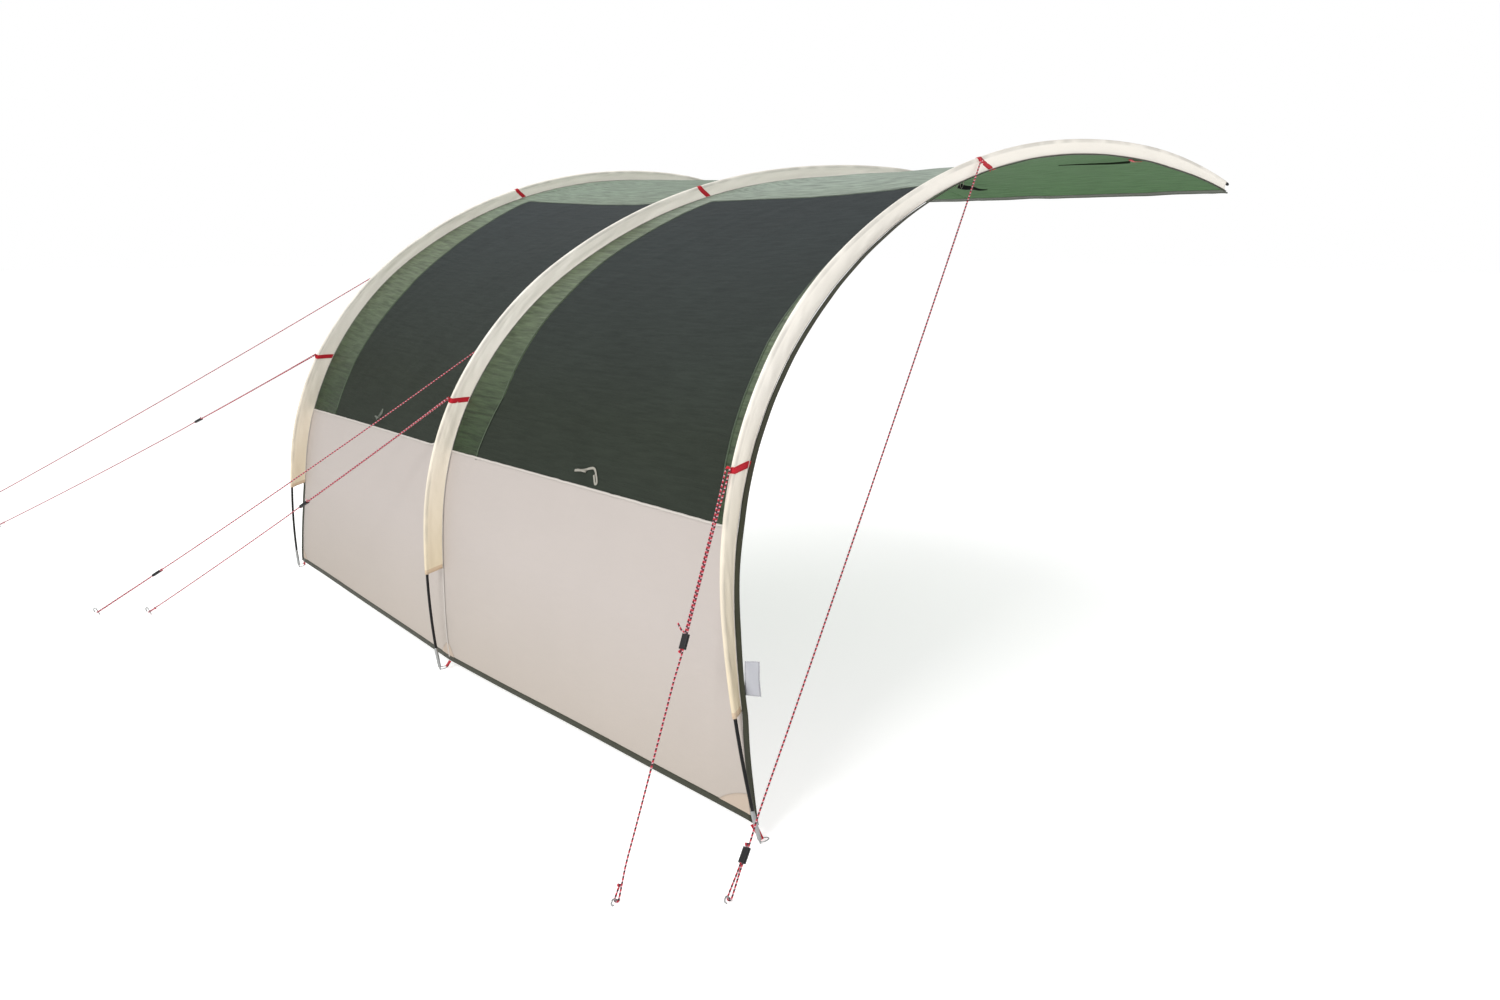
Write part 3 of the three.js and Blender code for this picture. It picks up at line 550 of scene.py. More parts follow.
def sleeve_tint(tree, base, along, across, height):
    """Cream, with a painted highlight that makes it paler higher up and painted shade that makes it greyer
    over the pole; peach at the lower hem.
    """
    # Painted highlight: paler and brighter higher up, where more light falls.
    base = blend(tree, ramp(tree, height, 0.4, 1.3), base, srgb(282, 276, 265))
    hem = calc(tree, "LESS_THAN", along, 0.018)
    base = blend(tree, calc(tree, "MULTIPLY", hem, 0.7), base, srgb(222, 190, 158))
    line = node(tree, "CombineXYZ", {0: along}).outputs[0]
    # Painted shade: a broken grey line where the pole's shadow shows through the folded cloth.
    wear_and_pole_shade = ramp(tree, noise_at(tree, line, 5.0, 2.0), 0.42, 0.55, 0.05, 0.35)
    pole = ramp(tree, calc(tree, "ABSOLUTE", across), 0.004, 0.009, 1.0, 0.0)
    return blend(tree, calc(tree, "MULTIPLY", pole, wear_and_pole_shade), base, srgb(168, 164, 156))


def wall_ground_shade(tree, base, along, across, height):
    # Painted shade: the wall darker and warmer towards the ground.
    return blend(tree, ramp(tree, height, 0.55, 0.05, 0.0, 0.55), base, srgb(193, 182, 168))


def green_painted_light(roof):
    def tint(tree, base, along, across, height):
        # Painted light: paler up the sides and palest over the roof, where light from above and sheen fall.
        base = blend(tree, ramp(tree, height, 0.95, 1.6), base, srgb(108, 122, 95))
        return blend(tree, ramp(tree, height, 1.75, 1.95), base, roof)
    return tint


def screen_painted_light(tree, base, along, across, height):
    # Painted light: the screen lighter and greyer higher up.
    return blend(tree, ramp(tree, height, 1.1, 1.95), base, srgb(66, 72, 74))


# One copy of the green cloth per bay: the front bay's roof is painted lighter than the rear's, as painted
# light.
CANOPIES = [fabric(f"canopy_outer_{name}", srgb(52, 68, 44), rough=0.6, sheen=0.05, folds=1.0,
                   tint=green_painted_light(roof), coat=0.05, crease_shade=0.8)
            for name, roof in (("rear_bay", srgb(134, 153, 132)), ("front_bay", srgb(165, 181, 165)))]
# The canopy's underside: the same cloth, painted a brighter green for the light that shines through it from
# behind.
BACKLIT_UNDERSIDE = fabric("canopy_inner", srgb(92, 128, 86), rough=0.75, sheen=0.0, folds=0.7, gloss_level=0.1,
                crease_shade=0.3)
WALL = fabric("wall_cloth", srgb(206, 197, 191), rough=0.75, sheen=0.05, folds=0.5, vary=0.035,
              tint=wall_ground_shade)
SLEEVE = fabric("sleeve_cloth", srgb(244, 228, 196), rough=0.7, sheen=0.05, folds=0.4, vary=0.04,
                tint=sleeve_tint)
SCREEN = fabric("screen_mesh", srgb(54, 60, 52), pitch=0.0016, rough=0.8, sheen=0.0, weave=0.3,
                folds=0.9, tint=screen_painted_light, gloss_level=0.08, vary=0.16, crease_shade=0.22)
BLIND = fabric("blind_cloth", srgb(66, 70, 55), rough=0.7, folds=0.5)
TAPE = fabric("olive_tape", srgb(60, 62, 47), pitch=0.0018, rough=0.75, weave=0.4, folds=0.3,
              stitches=(-0.009, 0.009))
FAR_TAPE = fabric("grey_tape", srgb(104, 110, 98), pitch=0.0018, rough=0.75, weave=0.4, folds=0.3,
                  stitches=(-0.009, 0.009))
# Beige tape a shade lighter than the wall: partly its own colour, partly a painted highlight along the seam's
# fold.
SEAM = fabric("beige_seam", srgb(222, 215, 207), pitch=0.0012, rough=0.7, folds=0.2,
              stitches=(-0.003, 0.003))
GREEN_SEAM = fabric("green_seam", srgb(74, 90, 68), pitch=0.0012, rough=0.6, folds=0.2, stitches=(0.0,))
# Dark green for a strip of painted shade along a crease under the roof.
CREASE_SHADE_GREEN = fabric("crease_shade_cloth", srgb(34, 48, 30), rough=0.7, folds=0.3)
PATCH = fabric("corner_patch", srgb(206, 188, 170), pitch=0.0013, rough=0.7, folds=0.2, vary=0.04)
WEBBING = fabric("red_webbing", srgb(222, 34, 52), pitch=0.0021, rough=0.6, sheen=0.3, weave=0.7, folds=0.1,
                 stitches=(-0.007, 0.007))
LIGHT_WEBBING = fabric("light_webbing", srgb(176, 172, 160), pitch=0.0016, rough=0.7, weave=0.6, folds=0.1)
SAGE_WEBBING = fabric("sage_webbing", srgb(104, 110, 98), pitch=0.0016, rough=0.7, weave=0.6, folds=0.1)
BLACK_WEBBING = fabric("black_webbing", srgb(26, 26, 26), pitch=0.0018, rough=0.6, weave=0.6, folds=0.1)
# A white label given a light grey colour: painted shade.
LABEL = fabric("label_satin", srgb(196, 197, 203), pitch=0.0006, rough=0.45, sheen=0.3, weave=0.2, folds=0.3,
               stitches=(-0.019, 0.019))


FLECK_PITCH = 0.0145


def braid():
    """Red braided cord with dark and white flecks that wind round it."""
    material, tree, shader = new_material("guy_cord")
    uv, along, around = metres(tree)
    pace = calc(tree, "MULTIPLY", along, 1 / FLECK_PITCH)
    skew = calc(tree, "PINGPONG", around, 0.5)
    turn = calc(tree, "FRACT", calc(tree, "MULTIPLY_ADD", skew, 0.5, pace))
    dark = calc(tree, "LESS_THAN", turn, 0.37)
    pale = calc(tree, "GREATER_THAN", turn, 0.74)
    wear = noise_at(tree, uv, 60, 3.0)
    red = blend(tree, wear, srgb(212, 14, 46), srgb(234, 36, 68))
    colour = blend(tree, pale, red, srgb(250, 188, 198))
    colour = blend(tree, dark, colour, srgb(58, 14, 26))
    wound = calc(tree, "MULTIPLY", around, 31.416)
    a = calc(tree, "SINE", calc(tree, "MULTIPLY_ADD", along, 3600.0, wound))
    b = calc(tree, "SINE", calc(tree, "SUBTRACT", calc(tree, "MULTIPLY", along, 3600.0), wound))
    bump = node(tree, "Bump", {"Strength": 0.6, "Distance": 0.0005, "Height": calc(tree, "MAXIMUM", a, b)})
    wire(tree, shader, {"Base Color": colour, "Normal": bump.outputs[0], "Roughness": 0.7,
                        "Sheen Weight": 0.2})
    return material


def hard(name, colour, specks, rough, scratch, metal=0.0, scale=60.0):
    """Metal, plastic or glass fibre with fine marks and specks of wear."""
    material, tree, shader = new_material(name)
    place = node(tree, "TexCoord").outputs["Object"]
    marks = noise_at(tree, place, scale * 6, 5.0, 0.65)
    broad = noise_at(tree, place, scale, 3.0)
    base = shaded(tree, colour, calc(tree, "MULTIPLY_ADD", marks, scratch, 1 - scratch / 2))
    wear_and_pole_shade = calc(tree, "GREATER_THAN", broad, 0.66)
    base = blend(tree, calc(tree, "MULTIPLY", wear_and_pole_shade, 0.4), base, specks)
    bump = node(tree, "Bump", {"Strength": 0.15, "Distance": 0.0003, "Height": marks})
    wire(tree, shader, {"Base Color": base, "Normal": bump.outputs[0], "Metallic": metal,
                        "Roughness": ramp(tree, broad, 0.3, 0.7, rough - 0.08, rough + 0.1),
                        "Specular IOR Level": 0.5 if metal else 0.25})
    return material


CORD = braid()
STEEL = hard("steel", srgb(176, 178, 178), srgb(140, 138, 132), 0.34, 0.18, metal=0.85)
FIBRE = hard("black_fibre", srgb(10, 10, 11), srgb(26, 26, 26), 0.5, 0.25)
PLASTIC = hard("black_plastic", srgb(28, 28, 30), srgb(42, 42, 44), 0.45, 0.15, scale=120.0)

# ------------------------------------------------------------------ guy lines
CORD_RADIUS = 0.00275
CORD_SAG = 0.006
WIDE = 0.0059
CLOSE = 0.00315
STRAP_THICK = 0.0016
RUNNER_LONG = 0.044
# From a runner's middle: to the doubled strand's end, and to where the strands close up and part.
STRAND_END = RUNNER_LONG / 2 + 0.008
NEAR = 0.040
FAR = 0.110
# From the peg: to the start, the waist and the knot of a single line's eye.
EYE_START = 0.090
EYE_WAIST = 0.045
EYE_KNOT = 0.038
KNOT_SIZE = 0.0046
PEG_GRIP = 0.014
PEG_TOP = 0.030
PEG_HOOK = 0.008
PEG_LENGTH = 0.220
GUYS = (
    dict(arch=REAR, strap=0, level="mid", ground=(-0.980, 4.040), runner=0.903, doubled="strap"),
    dict(arch=REAR, strap=1, level="top", ground=(-1.200, 4.370), runner=3.760, doubled="peg"),
    dict(arch=MIDDLE, strap=0, level="mid", ground=(-0.730, 1.550), runner=0.903, doubled="strap"),
    dict(arch=MIDDLE, strap=1, level="top", ground=(-0.920, 1.690), runner=2.120, doubled="peg",
         leaves=1.550),
    dict(arch=FRONT, strap=0, level="mid", ground=(-0.420, -2.030), runner=0.519, doubled="strap"),
    dict(arch=FRONT, strap=1, level="top", ground=(-0.180, -2.210), runner=2.555, doubled="peg"),
)


def guy_start(guy):
    arch, place = guy["arch"], guy["arch"]["straps"][guy["strap"]]
    if "leaves" in guy:
        return on_arch(arch, guy["leaves"], depth_at(arch, guy["leaves"]) - 0.006, 0.008)
    if guy["level"] == "top":
        return on_arch(arch, place, 0.002, -0.013 if arch is FRONT else 0.018)
    return on_arch(arch, place, -(SLEEVE_RADIUS + STRAP_THICK + CORD_RADIUS + WIDE + 0.002))


def guy_frame(guy):
    start = guy_start(guy)
    foot = Vector((*guy["ground"], 0))
    rough = (start - foot).normalized()
    side = Vector((0, 0, 1)).cross(rough).normalized()
    up = rough.cross(side).normalized()
    end = foot + up * PEG_GRIP
    return dict(start=start, end=end, side=side, up=up, foot=foot, to=(end - start).normalized(),
                length=(end - start).length)


def on_guy(line, distance, shift=0.0):
    share = distance / line["length"]
    sag = CORD_SAG * line["length"] * 4 * share * (1 - share)
    return line["start"] + line["to"] * distance + line["side"] * shift + Vector((0, 0, -sag))


def bend_points(line, distance, away):
    return [on_guy(line, distance + away * WIDE * math.cos(a), away * WIDE * math.sin(a))
            for a in angles(-60, -30, 0, 30, 60)]


def guy_route(guy, line):
    """The cord's centreline: round its strap or peg, and back to the runner as a second strand."""
    length, runner = line["length"], guy["runner"]
    end = runner + STRAND_END
    if guy["doubled"] == "strap":
        def strand(d):
            return table((0, 0.4 * runner, runner + NEAR, runner + FAR), (WIDE, CLOSE, CLOSE, 0), d)
        back = [on_guy(line, lerp(end, 0, i / 6), strand(lerp(end, 0, i / 6))) for i in range(7)]
        run = (0, 0.2 * runner, 0.4 * runner, 0.75 * runner, runner, runner + NEAR, runner + FAR)
        down = [on_guy(line, d, -strand(d)) for d in run]
        low = [on_guy(line, lerp(runner + FAR, length - EYE_START, i / 5)) for i in range(1, 6)]
        eye = [on_guy(line, length - EYE_WAIST, -CLOSE), on_guy(line, length, -WIDE),
               *bend_points(line, length, 1), on_guy(line, length, WIDE),
               on_guy(line, length - EYE_KNOT, CLOSE)]
        return back + bend_points(line, 0, -1) + down + low + eye

    def strand(d):
        return table((runner - FAR, runner - NEAR, runner + NEAR, length), (0, CLOSE, CLOSE, WIDE), d)
    high = [on_guy(line, lerp(0, runner - FAR, i / 9)) for i in range(10)]
    if "leaves" in guy:
        arch, top = guy["arch"], guy["arch"]["straps"][guy["strap"]] - 0.015
        places = [lerp(top, guy["leaves"], i / 9) for i in range(9)]
        high = [on_arch(arch, s, depth_at(arch, s) - 0.006, 0.008) for s in places] + high
    down = [on_guy(line, d, -strand(d)) for d in (runner - NEAR, runner, runner + NEAR, length)]
    back = [on_guy(line, d, strand(d)) for d in (length, runner + NEAR, runner, runner - STRAND_END)]
    return high + down + bend_points(line, length, 1) + back


def knot_path(centre, way, size):
    """An overhand knot pulled tight round a line that runs along way."""
    way = way.normalized()
    seed = Vector((0, 0, 1)) if abs(way.z) < 0.9 else Vector((1, 0, 0))
    a = (seed - way * seed.dot(way)).normalized()
    b = way.cross(a)
    path = []
    for i in range(49):
        t = 2 * math.pi * i / 48
        x = (math.sin(t) + 2 * math.sin(2 * t)) / 3
        y = (math.cos(t) - 2 * math.cos(2 * t)) / 3
        path.append(centre + (a * x + b * y) * size + way * size * 0.55 * math.sin(3 * t))
    return path[:-1]


def add_guy(guy):
    line = guy_frame(guy)
    name = f"{guy['arch']['name']}_{guy['level']}"
    path = rounded(guy_route(guy, line), 0.006)
    cord = link(f"cord_{name}", tube_mesh(path, CORD_RADIUS), CORD, stands_for=f"guy_{name}")

    add_peg(name, line)
    runner = bpy.data.objects[f"runner_{name}"]
    runner.material_slots[0].link = "OBJECT"
    runner.material_slots[0].material = PLASTIC
    edge = runner.modifiers.new("edge", "BEVEL")
    edge.width = 0.0012
    edge.segments = 2
    edge.limit_method = "ANGLE"

    def add_knot(i, at, body=MAIN):
        mesh = tube_mesh(knot_path(at, line["to"], KNOT_SIZE), CORD_RADIUS * 0.9, 8, True)
        return link(f"knot_{name}_{i}", mesh, CORD, body)

    def on_strand(distance):
        return on_guy(line, distance, CLOSE * 1.2)

    # The knot under a mid line's runner moves with the runner.
    if guy["doubled"] == "strap":
        pieces = [add_knot(0, on_strand(guy["runner"] + STRAND_END), f"runner_{name}"),
                  add_knot(1, on_strand(line["length"] - EYE_KNOT)), add_tail(name, guy, line)]
    else:
        pieces = [add_knot(0, on_strand(guy["runner"] - STRAND_END))]
        if "leaves" not in guy:
            pieces.append(add_knot(1, path[0]))


def add_tail(name, guy, line):
    """The cord's loose end beyond its runner, standing off to one side."""
    at = on_guy(line, guy["runner"] - RUNNER_LONG / 2 - 0.004, CLOSE)
    out = line["side"] if line["side"].x < 0 else -line["side"]
    end = at + out * 0.030 - line["to"] * 0.020 + Vector((0, 0, 0.004))
    path = rounded([at, at + out * 0.012 - line["to"] * 0.004, end], 0.002)
    return link(f"tail_{name}", tube_mesh(path, CORD_RADIUS), CORD)


def add_peg(name, line):
    away, up, foot = line["to"], line["up"], line["foot"]

    def at(height, out):
        return foot + up * height + away * out
    hook = [at(PEG_TOP + PEG_HOOK * math.sin(a), PEG_HOOK + PEG_HOOK * math.cos(a))
            for a in angles(*range(165, -1, -15))]
    points = [at(PEG_TOP - PEG_LENGTH, 0), at(-0.1, 0), at(0, 0), at(PEG_TOP, 0), *hook,
              at(PEG_TOP - 0.009, 2 * PEG_HOOK)]
    radii = [0.0008, 0.0025] + [0.0025] * (len(points) - 2)
    link(f"ground_peg_{name}", tube_mesh(points, radii, 14), STEEL, f"peg_{name}", f"peg_{name}")


for guy in GUYS:
    add_guy(guy)

# ------------------------------------------------------------------ poles and feet
FOOT_TUBE_BASE = 0.014
POLE_START = 0.100
RING_RADIUS = 0.015
RING_WIRE = 0.0017
RING_HEIGHT = 0.007
POLE_SECTIONS = (POLE_START, 1.2546, 2.7600, 4.378)


def foot_axes(arch):
    """The foot's own frame: base point, sideways, inward to the wall, and up along the pole."""
    base = on_arch(arch, 0)
    up = (on_arch(arch, 0.001) - base).normalized()
    inward = arch_frame(arch, 0.05)[1]
    inward = (inward - up * inward.dot(up)).normalized()
    return base, inward.cross(up), inward, up


def add_pole(arch):
    name = arch["name"]
    for part, low, high in zip(("lower", "shoulder", "roof"), POLE_SECTIONS, POLE_SECTIONS[1:]):
        points = [on_arch(arch, s) for s in spread(low, high - 0.001, 0.02)]
        rod = tube_mesh(points, POLE_RADIUS, 16)
        link(f"rod_{name}_{part}", rod, FIBRE, stands_for=f"pole_{name}_{part}")
    for i, joint in enumerate(POLE_SECTIONS[1:3]):
        points = [on_arch(arch, joint + d) for d in (-0.028, -0.027, -0.01, 0.01, 0.027, 0.028)]
        radii = [0.0056, 0.0061, 0.0061, 0.0061, 0.0061, 0.0056]
        link(f"ferrule_{name}_{i}", tube_mesh(points, radii, 16), STEEL)
    points = [on_arch(arch, s) for s in (4.368, 4.372, 4.380, 4.384)]
    link(f"tip_{name}", tube_mesh(points, [0.0062, 0.0066, 0.0066, 0.0050], 16), PLASTIC)


def add_foot(arch):
    name = arch["name"]
    base, side, inward, up = foot_axes(arch)
    top = (on_arch(arch, POLE_START) - base).length - 0.0003
    heights = (FOOT_TUBE_BASE, FOOT_TUBE_BASE + 0.001, FOOT_TUBE_BASE + 0.004, 0.05, top - 0.010, top - 0.008,
               top - 0.002, top)
    radii = (0.0056, 0.0065, 0.0065, 0.0065, 0.0065, 0.0061, 0.0061, 0.0056)
    tube = tube_mesh([base + up * h for h in heights], radii, 24)
    link(f"end_tube_{name}", tube, STEEL, stands_for=f"foot_tube_{name}")

    body = f"ring_pin_{name}"
    heights = (0.001, 0.002, 0.03, 0.059)
    pin = tube_mesh([base + up * h for h in heights], [0.0018, 0.0028, 0.0028, 0.0024], 16)
    link(f"pin_{name}", pin, STEEL, body)
    centre = base + inward * RING_RADIUS + up * RING_HEIGHT
    circle = [centre + (inward * math.cos(a) + side * math.sin(a)) * RING_RADIUS
              for a in [2 * math.pi * i / 48 for i in range(48)]]
    link(f"ring_{name}", tube_mesh(circle, RING_WIRE, 12, True), STEEL, body, body)

    # webbing loop from the ring's inner side up to the ground hem
    hem = on_arch(arch, arch["hem"], depth_at(arch, arch["hem"]) + 0.0015, drawn_at(arch, arch["hem"]))
    out = hem - centre
    out = (out - up * out.dot(up)).normalized()
    side = up.cross(out)
    wire = centre + out * RING_RADIUS
    way = (hem - wire).normalized()
    lift = side.cross(way).normalized()
    reach = (hem - wire).length - 0.003
    r = RING_WIRE + 0.0012
    turn = [wire - way * r * math.cos(a) + lift * r * math.sin(a)
            for a in angles(90, 60, 30, 0, -30, -60, -90)]
    end, middle = wire + way * reach, wire + way * reach * 0.6
    path = rounded([end + lift * 0.0008, middle + lift * 0.0012, *turn, middle - lift * 0.0012,
                    end - lift * 0.0008], 0.002)
    widths = [lerp(0.013, 0.021, clamp((p - wire).dot(way) / reach)) for p in path]
    loop = ribbon_mesh(path, side, widths, 0.0012)
    link(f"loop_{name}", loop, WEBBING, stands_for=f"foot_loop_{name}")


for arch in ARCHES:
    add_pole(arch)
    add_foot(arch)

# ------------------------------------------------------------------ sleeves and straps
FOLD_TURNS = angles(78, 60, 40, 20, 0, -20, -40, -60, -78)


def fold_section(depth, swell=0.0):
    """Half outlines of the cloth folded over the pole: (inward, sideways) from root to root."""
    radius = SLEEVE_RADIUS + swell
    leg = [(depth * share, lerp(0.0011, 0.0042, (1 - share) ** 1.3) + swell)
           for share in (1.0, 0.97, 0.9, 0.78, 0.64, 0.5, 0.38, 0.28)]
    arc = [(-radius * math.cos(a), radius * math.sin(a)) for a in FOLD_TURNS]
    return leg + arc + [(u, -v) for u, v in reversed(leg)]


def sleeve_waves(arch, s, share):
    """Sideways waviness of the flat fin, none at the pole and the root."""
    free = 4 * share * (1 - share) if 0 < share < 1 else 0
    seed = arch["foot"][1]
    wave = 0.0030 * noise.noise(Vector((s * 6.5, share * 1.5, seed)))
    wave += 0.0016 * noise.noise(Vector((s * 19 + share * 4, share * 3, seed + 7)))
    return free * wave


def add_sleeve(arch):
    name = arch["name"]
    low, slant = arch["sleeve"], 0.016
    rows = spread(low, SLEEVE_TOP, 0.013)
    count = len(fold_section(0.05))

    def place(s, j):
        depth = depth_at(arch, s) - 0.0005
        section = fold_section(depth)
        u, v = section[round(j)]
        share = clamp(u / depth)
        here = SLEEVE_TOP - (SLEEVE_TOP - low - slant * share) * (SLEEVE_TOP - s) / (SLEEVE_TOP - low)
        _, inward, side = arch_frame(arch, here)
        tuck = 0.0009 * noise.noise(Vector((here * 30, round(j) * 0.7, 4.0))) * share
        point = on_arch(arch, here) + inward * u + side * (v + sleeve_waves(arch, here, share) + tuck)
        return point, s - low, u

    mesh = grid_mesh(rows, list(range(count)), place)
    sleeve = link(f"pole_sleeve_{name}", mesh, SLEEVE)
    solidify(sleeve, 0.0006, 1.0)
    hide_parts(f"sleeve_{name}")


def add_strap(arch, index, level):
    """Red webbing folded over the sleeve; its outer end is drawn down the pole by the guy line."""
    name = f"{arch['name']}_{level}"
    s_pole = arch["straps"][index]
    s_root = s_pole + (0.040 if level == "mid" else 0.055 if arch is FRONT else 0.042)
    depth = depth_at(arch, s_root)
    points, across = [], []
    for u, v in fold_section(depth, 0.0012):
        share = clamp(u / depth)
        s = lerp(s_pole, s_root, share)
        along, inward, side = arch_frame(arch, s)
        reach = 1.02 if share >= 0.99 else 1
        points.append(on_arch(arch, s) + inward * u * reach + side * v)
        across.append(along)
    along, inward, side = arch_frame(arch, s_root)
    points.insert(0, on_arch(arch, s_root) + inward * (depth + 0.004) + side * 0.012)
    across.insert(0, along)
    band = ribbon_mesh(points, across, 0.020, 0.0014)
    link(f"webbing_{name}", band, WEBBING, stands_for=f"strap_{name}")
    guy = next(g for g in GUYS if g["arch"] is arch and g["level"] == level)
    if "leaves" not in guy:
        add_nose(name, guy, s_pole)


def add_nose(name, guy, s_pole):
    """The strap's outer end, narrowed to a loop that the guy line passes through."""
    arch, line = guy["arch"], guy_frame(guy)
    along = arch_frame(arch, s_pole)[0]
    near = on_arch(arch, s_pole)
    out = line["start"] - near
    out = (out - along * out.dot(along)).normalized()
    fold = near + out * (SLEEVE_RADIUS + 0.0012)
    r = CORD_RADIUS + 0.0010
    bend = on_guy(line, 0) - line["to"] * WIDE if guy["level"] == "mid" else line["start"]
    up = line["side"].cross(line["to"]).normalized()
    eye = [bend + line["to"] * r * math.cos(a) + up * r * math.sin(a)
           for a in angles(110, 70, 35, 0, -35, -70, -110)]
    path = rounded([fold + up * 0.001 - out * 0.001, *eye, fold - up * 0.001 - out * 0.001], 0.0015)
    swell = [math.sin(math.pi * i / (len(path) - 1)) for i in range(len(path))]
    flat = along - out * along.dot(out)
    turned = line["side"] if flat.dot(line["side"]) > 0 else -line["side"]
    widths = [lerp(0.018, 0.0085, share ** 0.6) for share in swell]
    nose = ribbon_mesh(path, [flat.lerp(turned, share) for share in swell], widths, 0.0012)
    link(f"nose_{name}", nose, WEBBING)


for arch in ARCHES:
    add_sleeve(arch)
    add_strap(arch, 0, "mid")
    add_strap(arch, 1, "top")

# ------------------------------------------------------------------ cloth of the bays
CELL = 0.014
WINDOW_FOOT = 0.91
WINDOW_HIGH = WINDOW_TOP - WINDOW_FOOT


def halved(values):
    """Every second value, and the last."""
    return values[::2] if len(values) % 2 else values[::2] + values[-1:]


def outer_face(mesh, bay, s=1.5):
    """Turns the mesh so that its normals point away from the shelter."""
    inward = arch_frame(bay["start"], s)[1]
    total = sum(1 if p.normal.dot(inward) > 0 else -1 for p in list(mesh.polygons)[::37])
    if total > 0:
        mesh.flip_normals()
    return mesh


def edge_at(bay, side, s):
    """Place across the bay of the window's left or right edge."""
    return table(*bay[side], s)


def column_map(bay, s, c):
    """Place across the bay: columns 0 to 1 are the rear strip, 1 to 2 the window, 2 to 3 the front strip."""
    left, right = edge_at(bay, "left", s), edge_at(bay, "right", s)
    if c <= 1:
        return left * c
    if c <= 2:
        return lerp(left, right, c - 1)
    return lerp(right, 1, c - 2)


def columns_for(bay):
    left, right = edge_at(bay, "left", 1.5), edge_at(bay, "right", 1.5)
    parts = spread(0, 1, CELL / (2 * left))
    parts += spread(1, 2, CELL / (2 * (right - left)))[1:]
    return parts + spread(2, 3, CELL / (2 * (1 - right)))[1:]


def add_wall(bay):
    name = bay["name"]

    def place(r, t):
        low = lerp(bay["start"]["hem"], bay["end"]["hem"], t) + 0.004
        s = lerp(low, seam_at(bay, t), r)
        return on_bay(bay, s, t, 0.0004), 2.0 * t, s

    mesh = grid_mesh(spread(0, 1, CELL / 0.9), spread(0, 1, CELL / 2), place)
    wall = link(f"ground_wall_{name}", outer_face(mesh, bay), WALL)
    solidify(wall, CLOTH)
    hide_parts(f"wall_{name}")


def add_canopy(bay):
    name = bay["name"]

    def place(r, c):
        if r <= 1:
            t = column_map(bay, lerp(WINDOW_FOOT, WINDOW_TOP, r), c)
            s = lerp(seam_at(bay, t), WINDOW_TOP, r)
        else:
            s = lerp(WINDOW_TOP, ROOF_END + 0.004, r - 1)
            t = column_map(bay, WINDOW_TOP, c)
        return on_bay(bay, s, t), 2.0 * t, s

    rows = spread(0, 1, CELL / WINDOW_HIGH) + spread(1, 2, CELL / (ROOF_END - WINDOW_TOP))[1:]
    mesh = grid_mesh(rows, columns_for(bay), place, lambda r, c: r > 1 or not 1 < c < 2)
    faces = [CANOPIES[BAYS.index(bay)], BACKLIT_UNDERSIDE]
    canopy = link(f"roof_cloth_{name}", outer_face(mesh, bay), faces)
    solidify(canopy, CLOTH, inner_slot=1)
    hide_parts(f"canopy_{name}")


def add_window(bay):
    """The dark mesh in the window's opening, and the closed cover behind it."""
    name = bay["name"]

    def pane(depth, over):
        def place(r, c):
            t = column_map(bay, lerp(WINDOW_FOOT, WINDOW_TOP, r), 1 + c)
            t += (c - 0.5) * over
            s = lerp(seam_at(bay, t) + 0.0004, WINDOW_TOP, r) + (r - 0.5) * over * 3
            return on_bay(bay, s, t, depth), 2.0 * t, s
        return place

    rows = spread(0, 1, CELL / WINDOW_HIGH)
    columns = spread(0, 1, CELL / 1.65)
    mesh = grid_mesh(rows, columns, pane(0.0006, 0.004))
    screen = link(f"window_mesh_{name}", outer_face(mesh, bay), SCREEN)
    solidify(screen, 0.0006)
    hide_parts(f"screen_{name}")

    mesh = grid_mesh(halved(rows), halved(columns), pane(0.0085, 0.03))
    cover = link(f"window_cover_{name}", outer_face(mesh, bay), BLIND)
    solidify(cover, CLOTH)
    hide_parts(f"blind_{name}")


for bay in BAYS:
    add_wall(bay)
    add_canopy(bay)
    add_window(bay)

# ------------------------------------------------------------------ seams, tapes and edges


def surface_tape(name, bay, line, width, material, depth, thickness=0.0012, waver=0.0):
    """A flat tape on a bay's cloth; line gives (s, t) places in order."""
    points = []
    for i, (s, t) in enumerate(line):
        shift = waver * noise.noise(Vector((i * 0.31, bay["seed"], 2.0)))
        points.append(on_bay(bay, s, t, depth - abs(shift)))
    ways, _ = frames_along(points)
    across = [(-arch_frame(bay["start"], s)[1]).cross(way) for (s, _), way in zip(line, ways)]
    link(name, ribbon_mesh(points, across, width, thickness), material)


def add_seams(bay):
    name = bay["name"]
    step = 0.012
    across = [(seam_at(bay, t) - 0.004, t) for t in spread(0.002, 0.998, step / 2)]
    surface_tape(f"wall_seam_{name}", bay, across, 0.009, SEAM, -0.0009)
    tall = spread(0.93, WINDOW_TOP, step)
    for side, sign in (("left", -1), ("right", 1)):
        line = [(s, edge_at(bay, side, s) + sign * 0.0035) for s in tall]
        surface_tape(f"window_seam_{side}_{name}", bay, line, 0.008, GREEN_SEAM, -0.0006, 0.001,
                     waver=0.0008)
    left, right = edge_at(bay, "left", WINDOW_TOP), edge_at(bay, "right", WINDOW_TOP)
    line = [(WINDOW_TOP + 0.004, t) for t in spread(left, right, step / 2)]
    surface_tape(f"window_seam_top_{name}", bay, line, 0.008, GREEN_SEAM, -0.0006, 0.001)


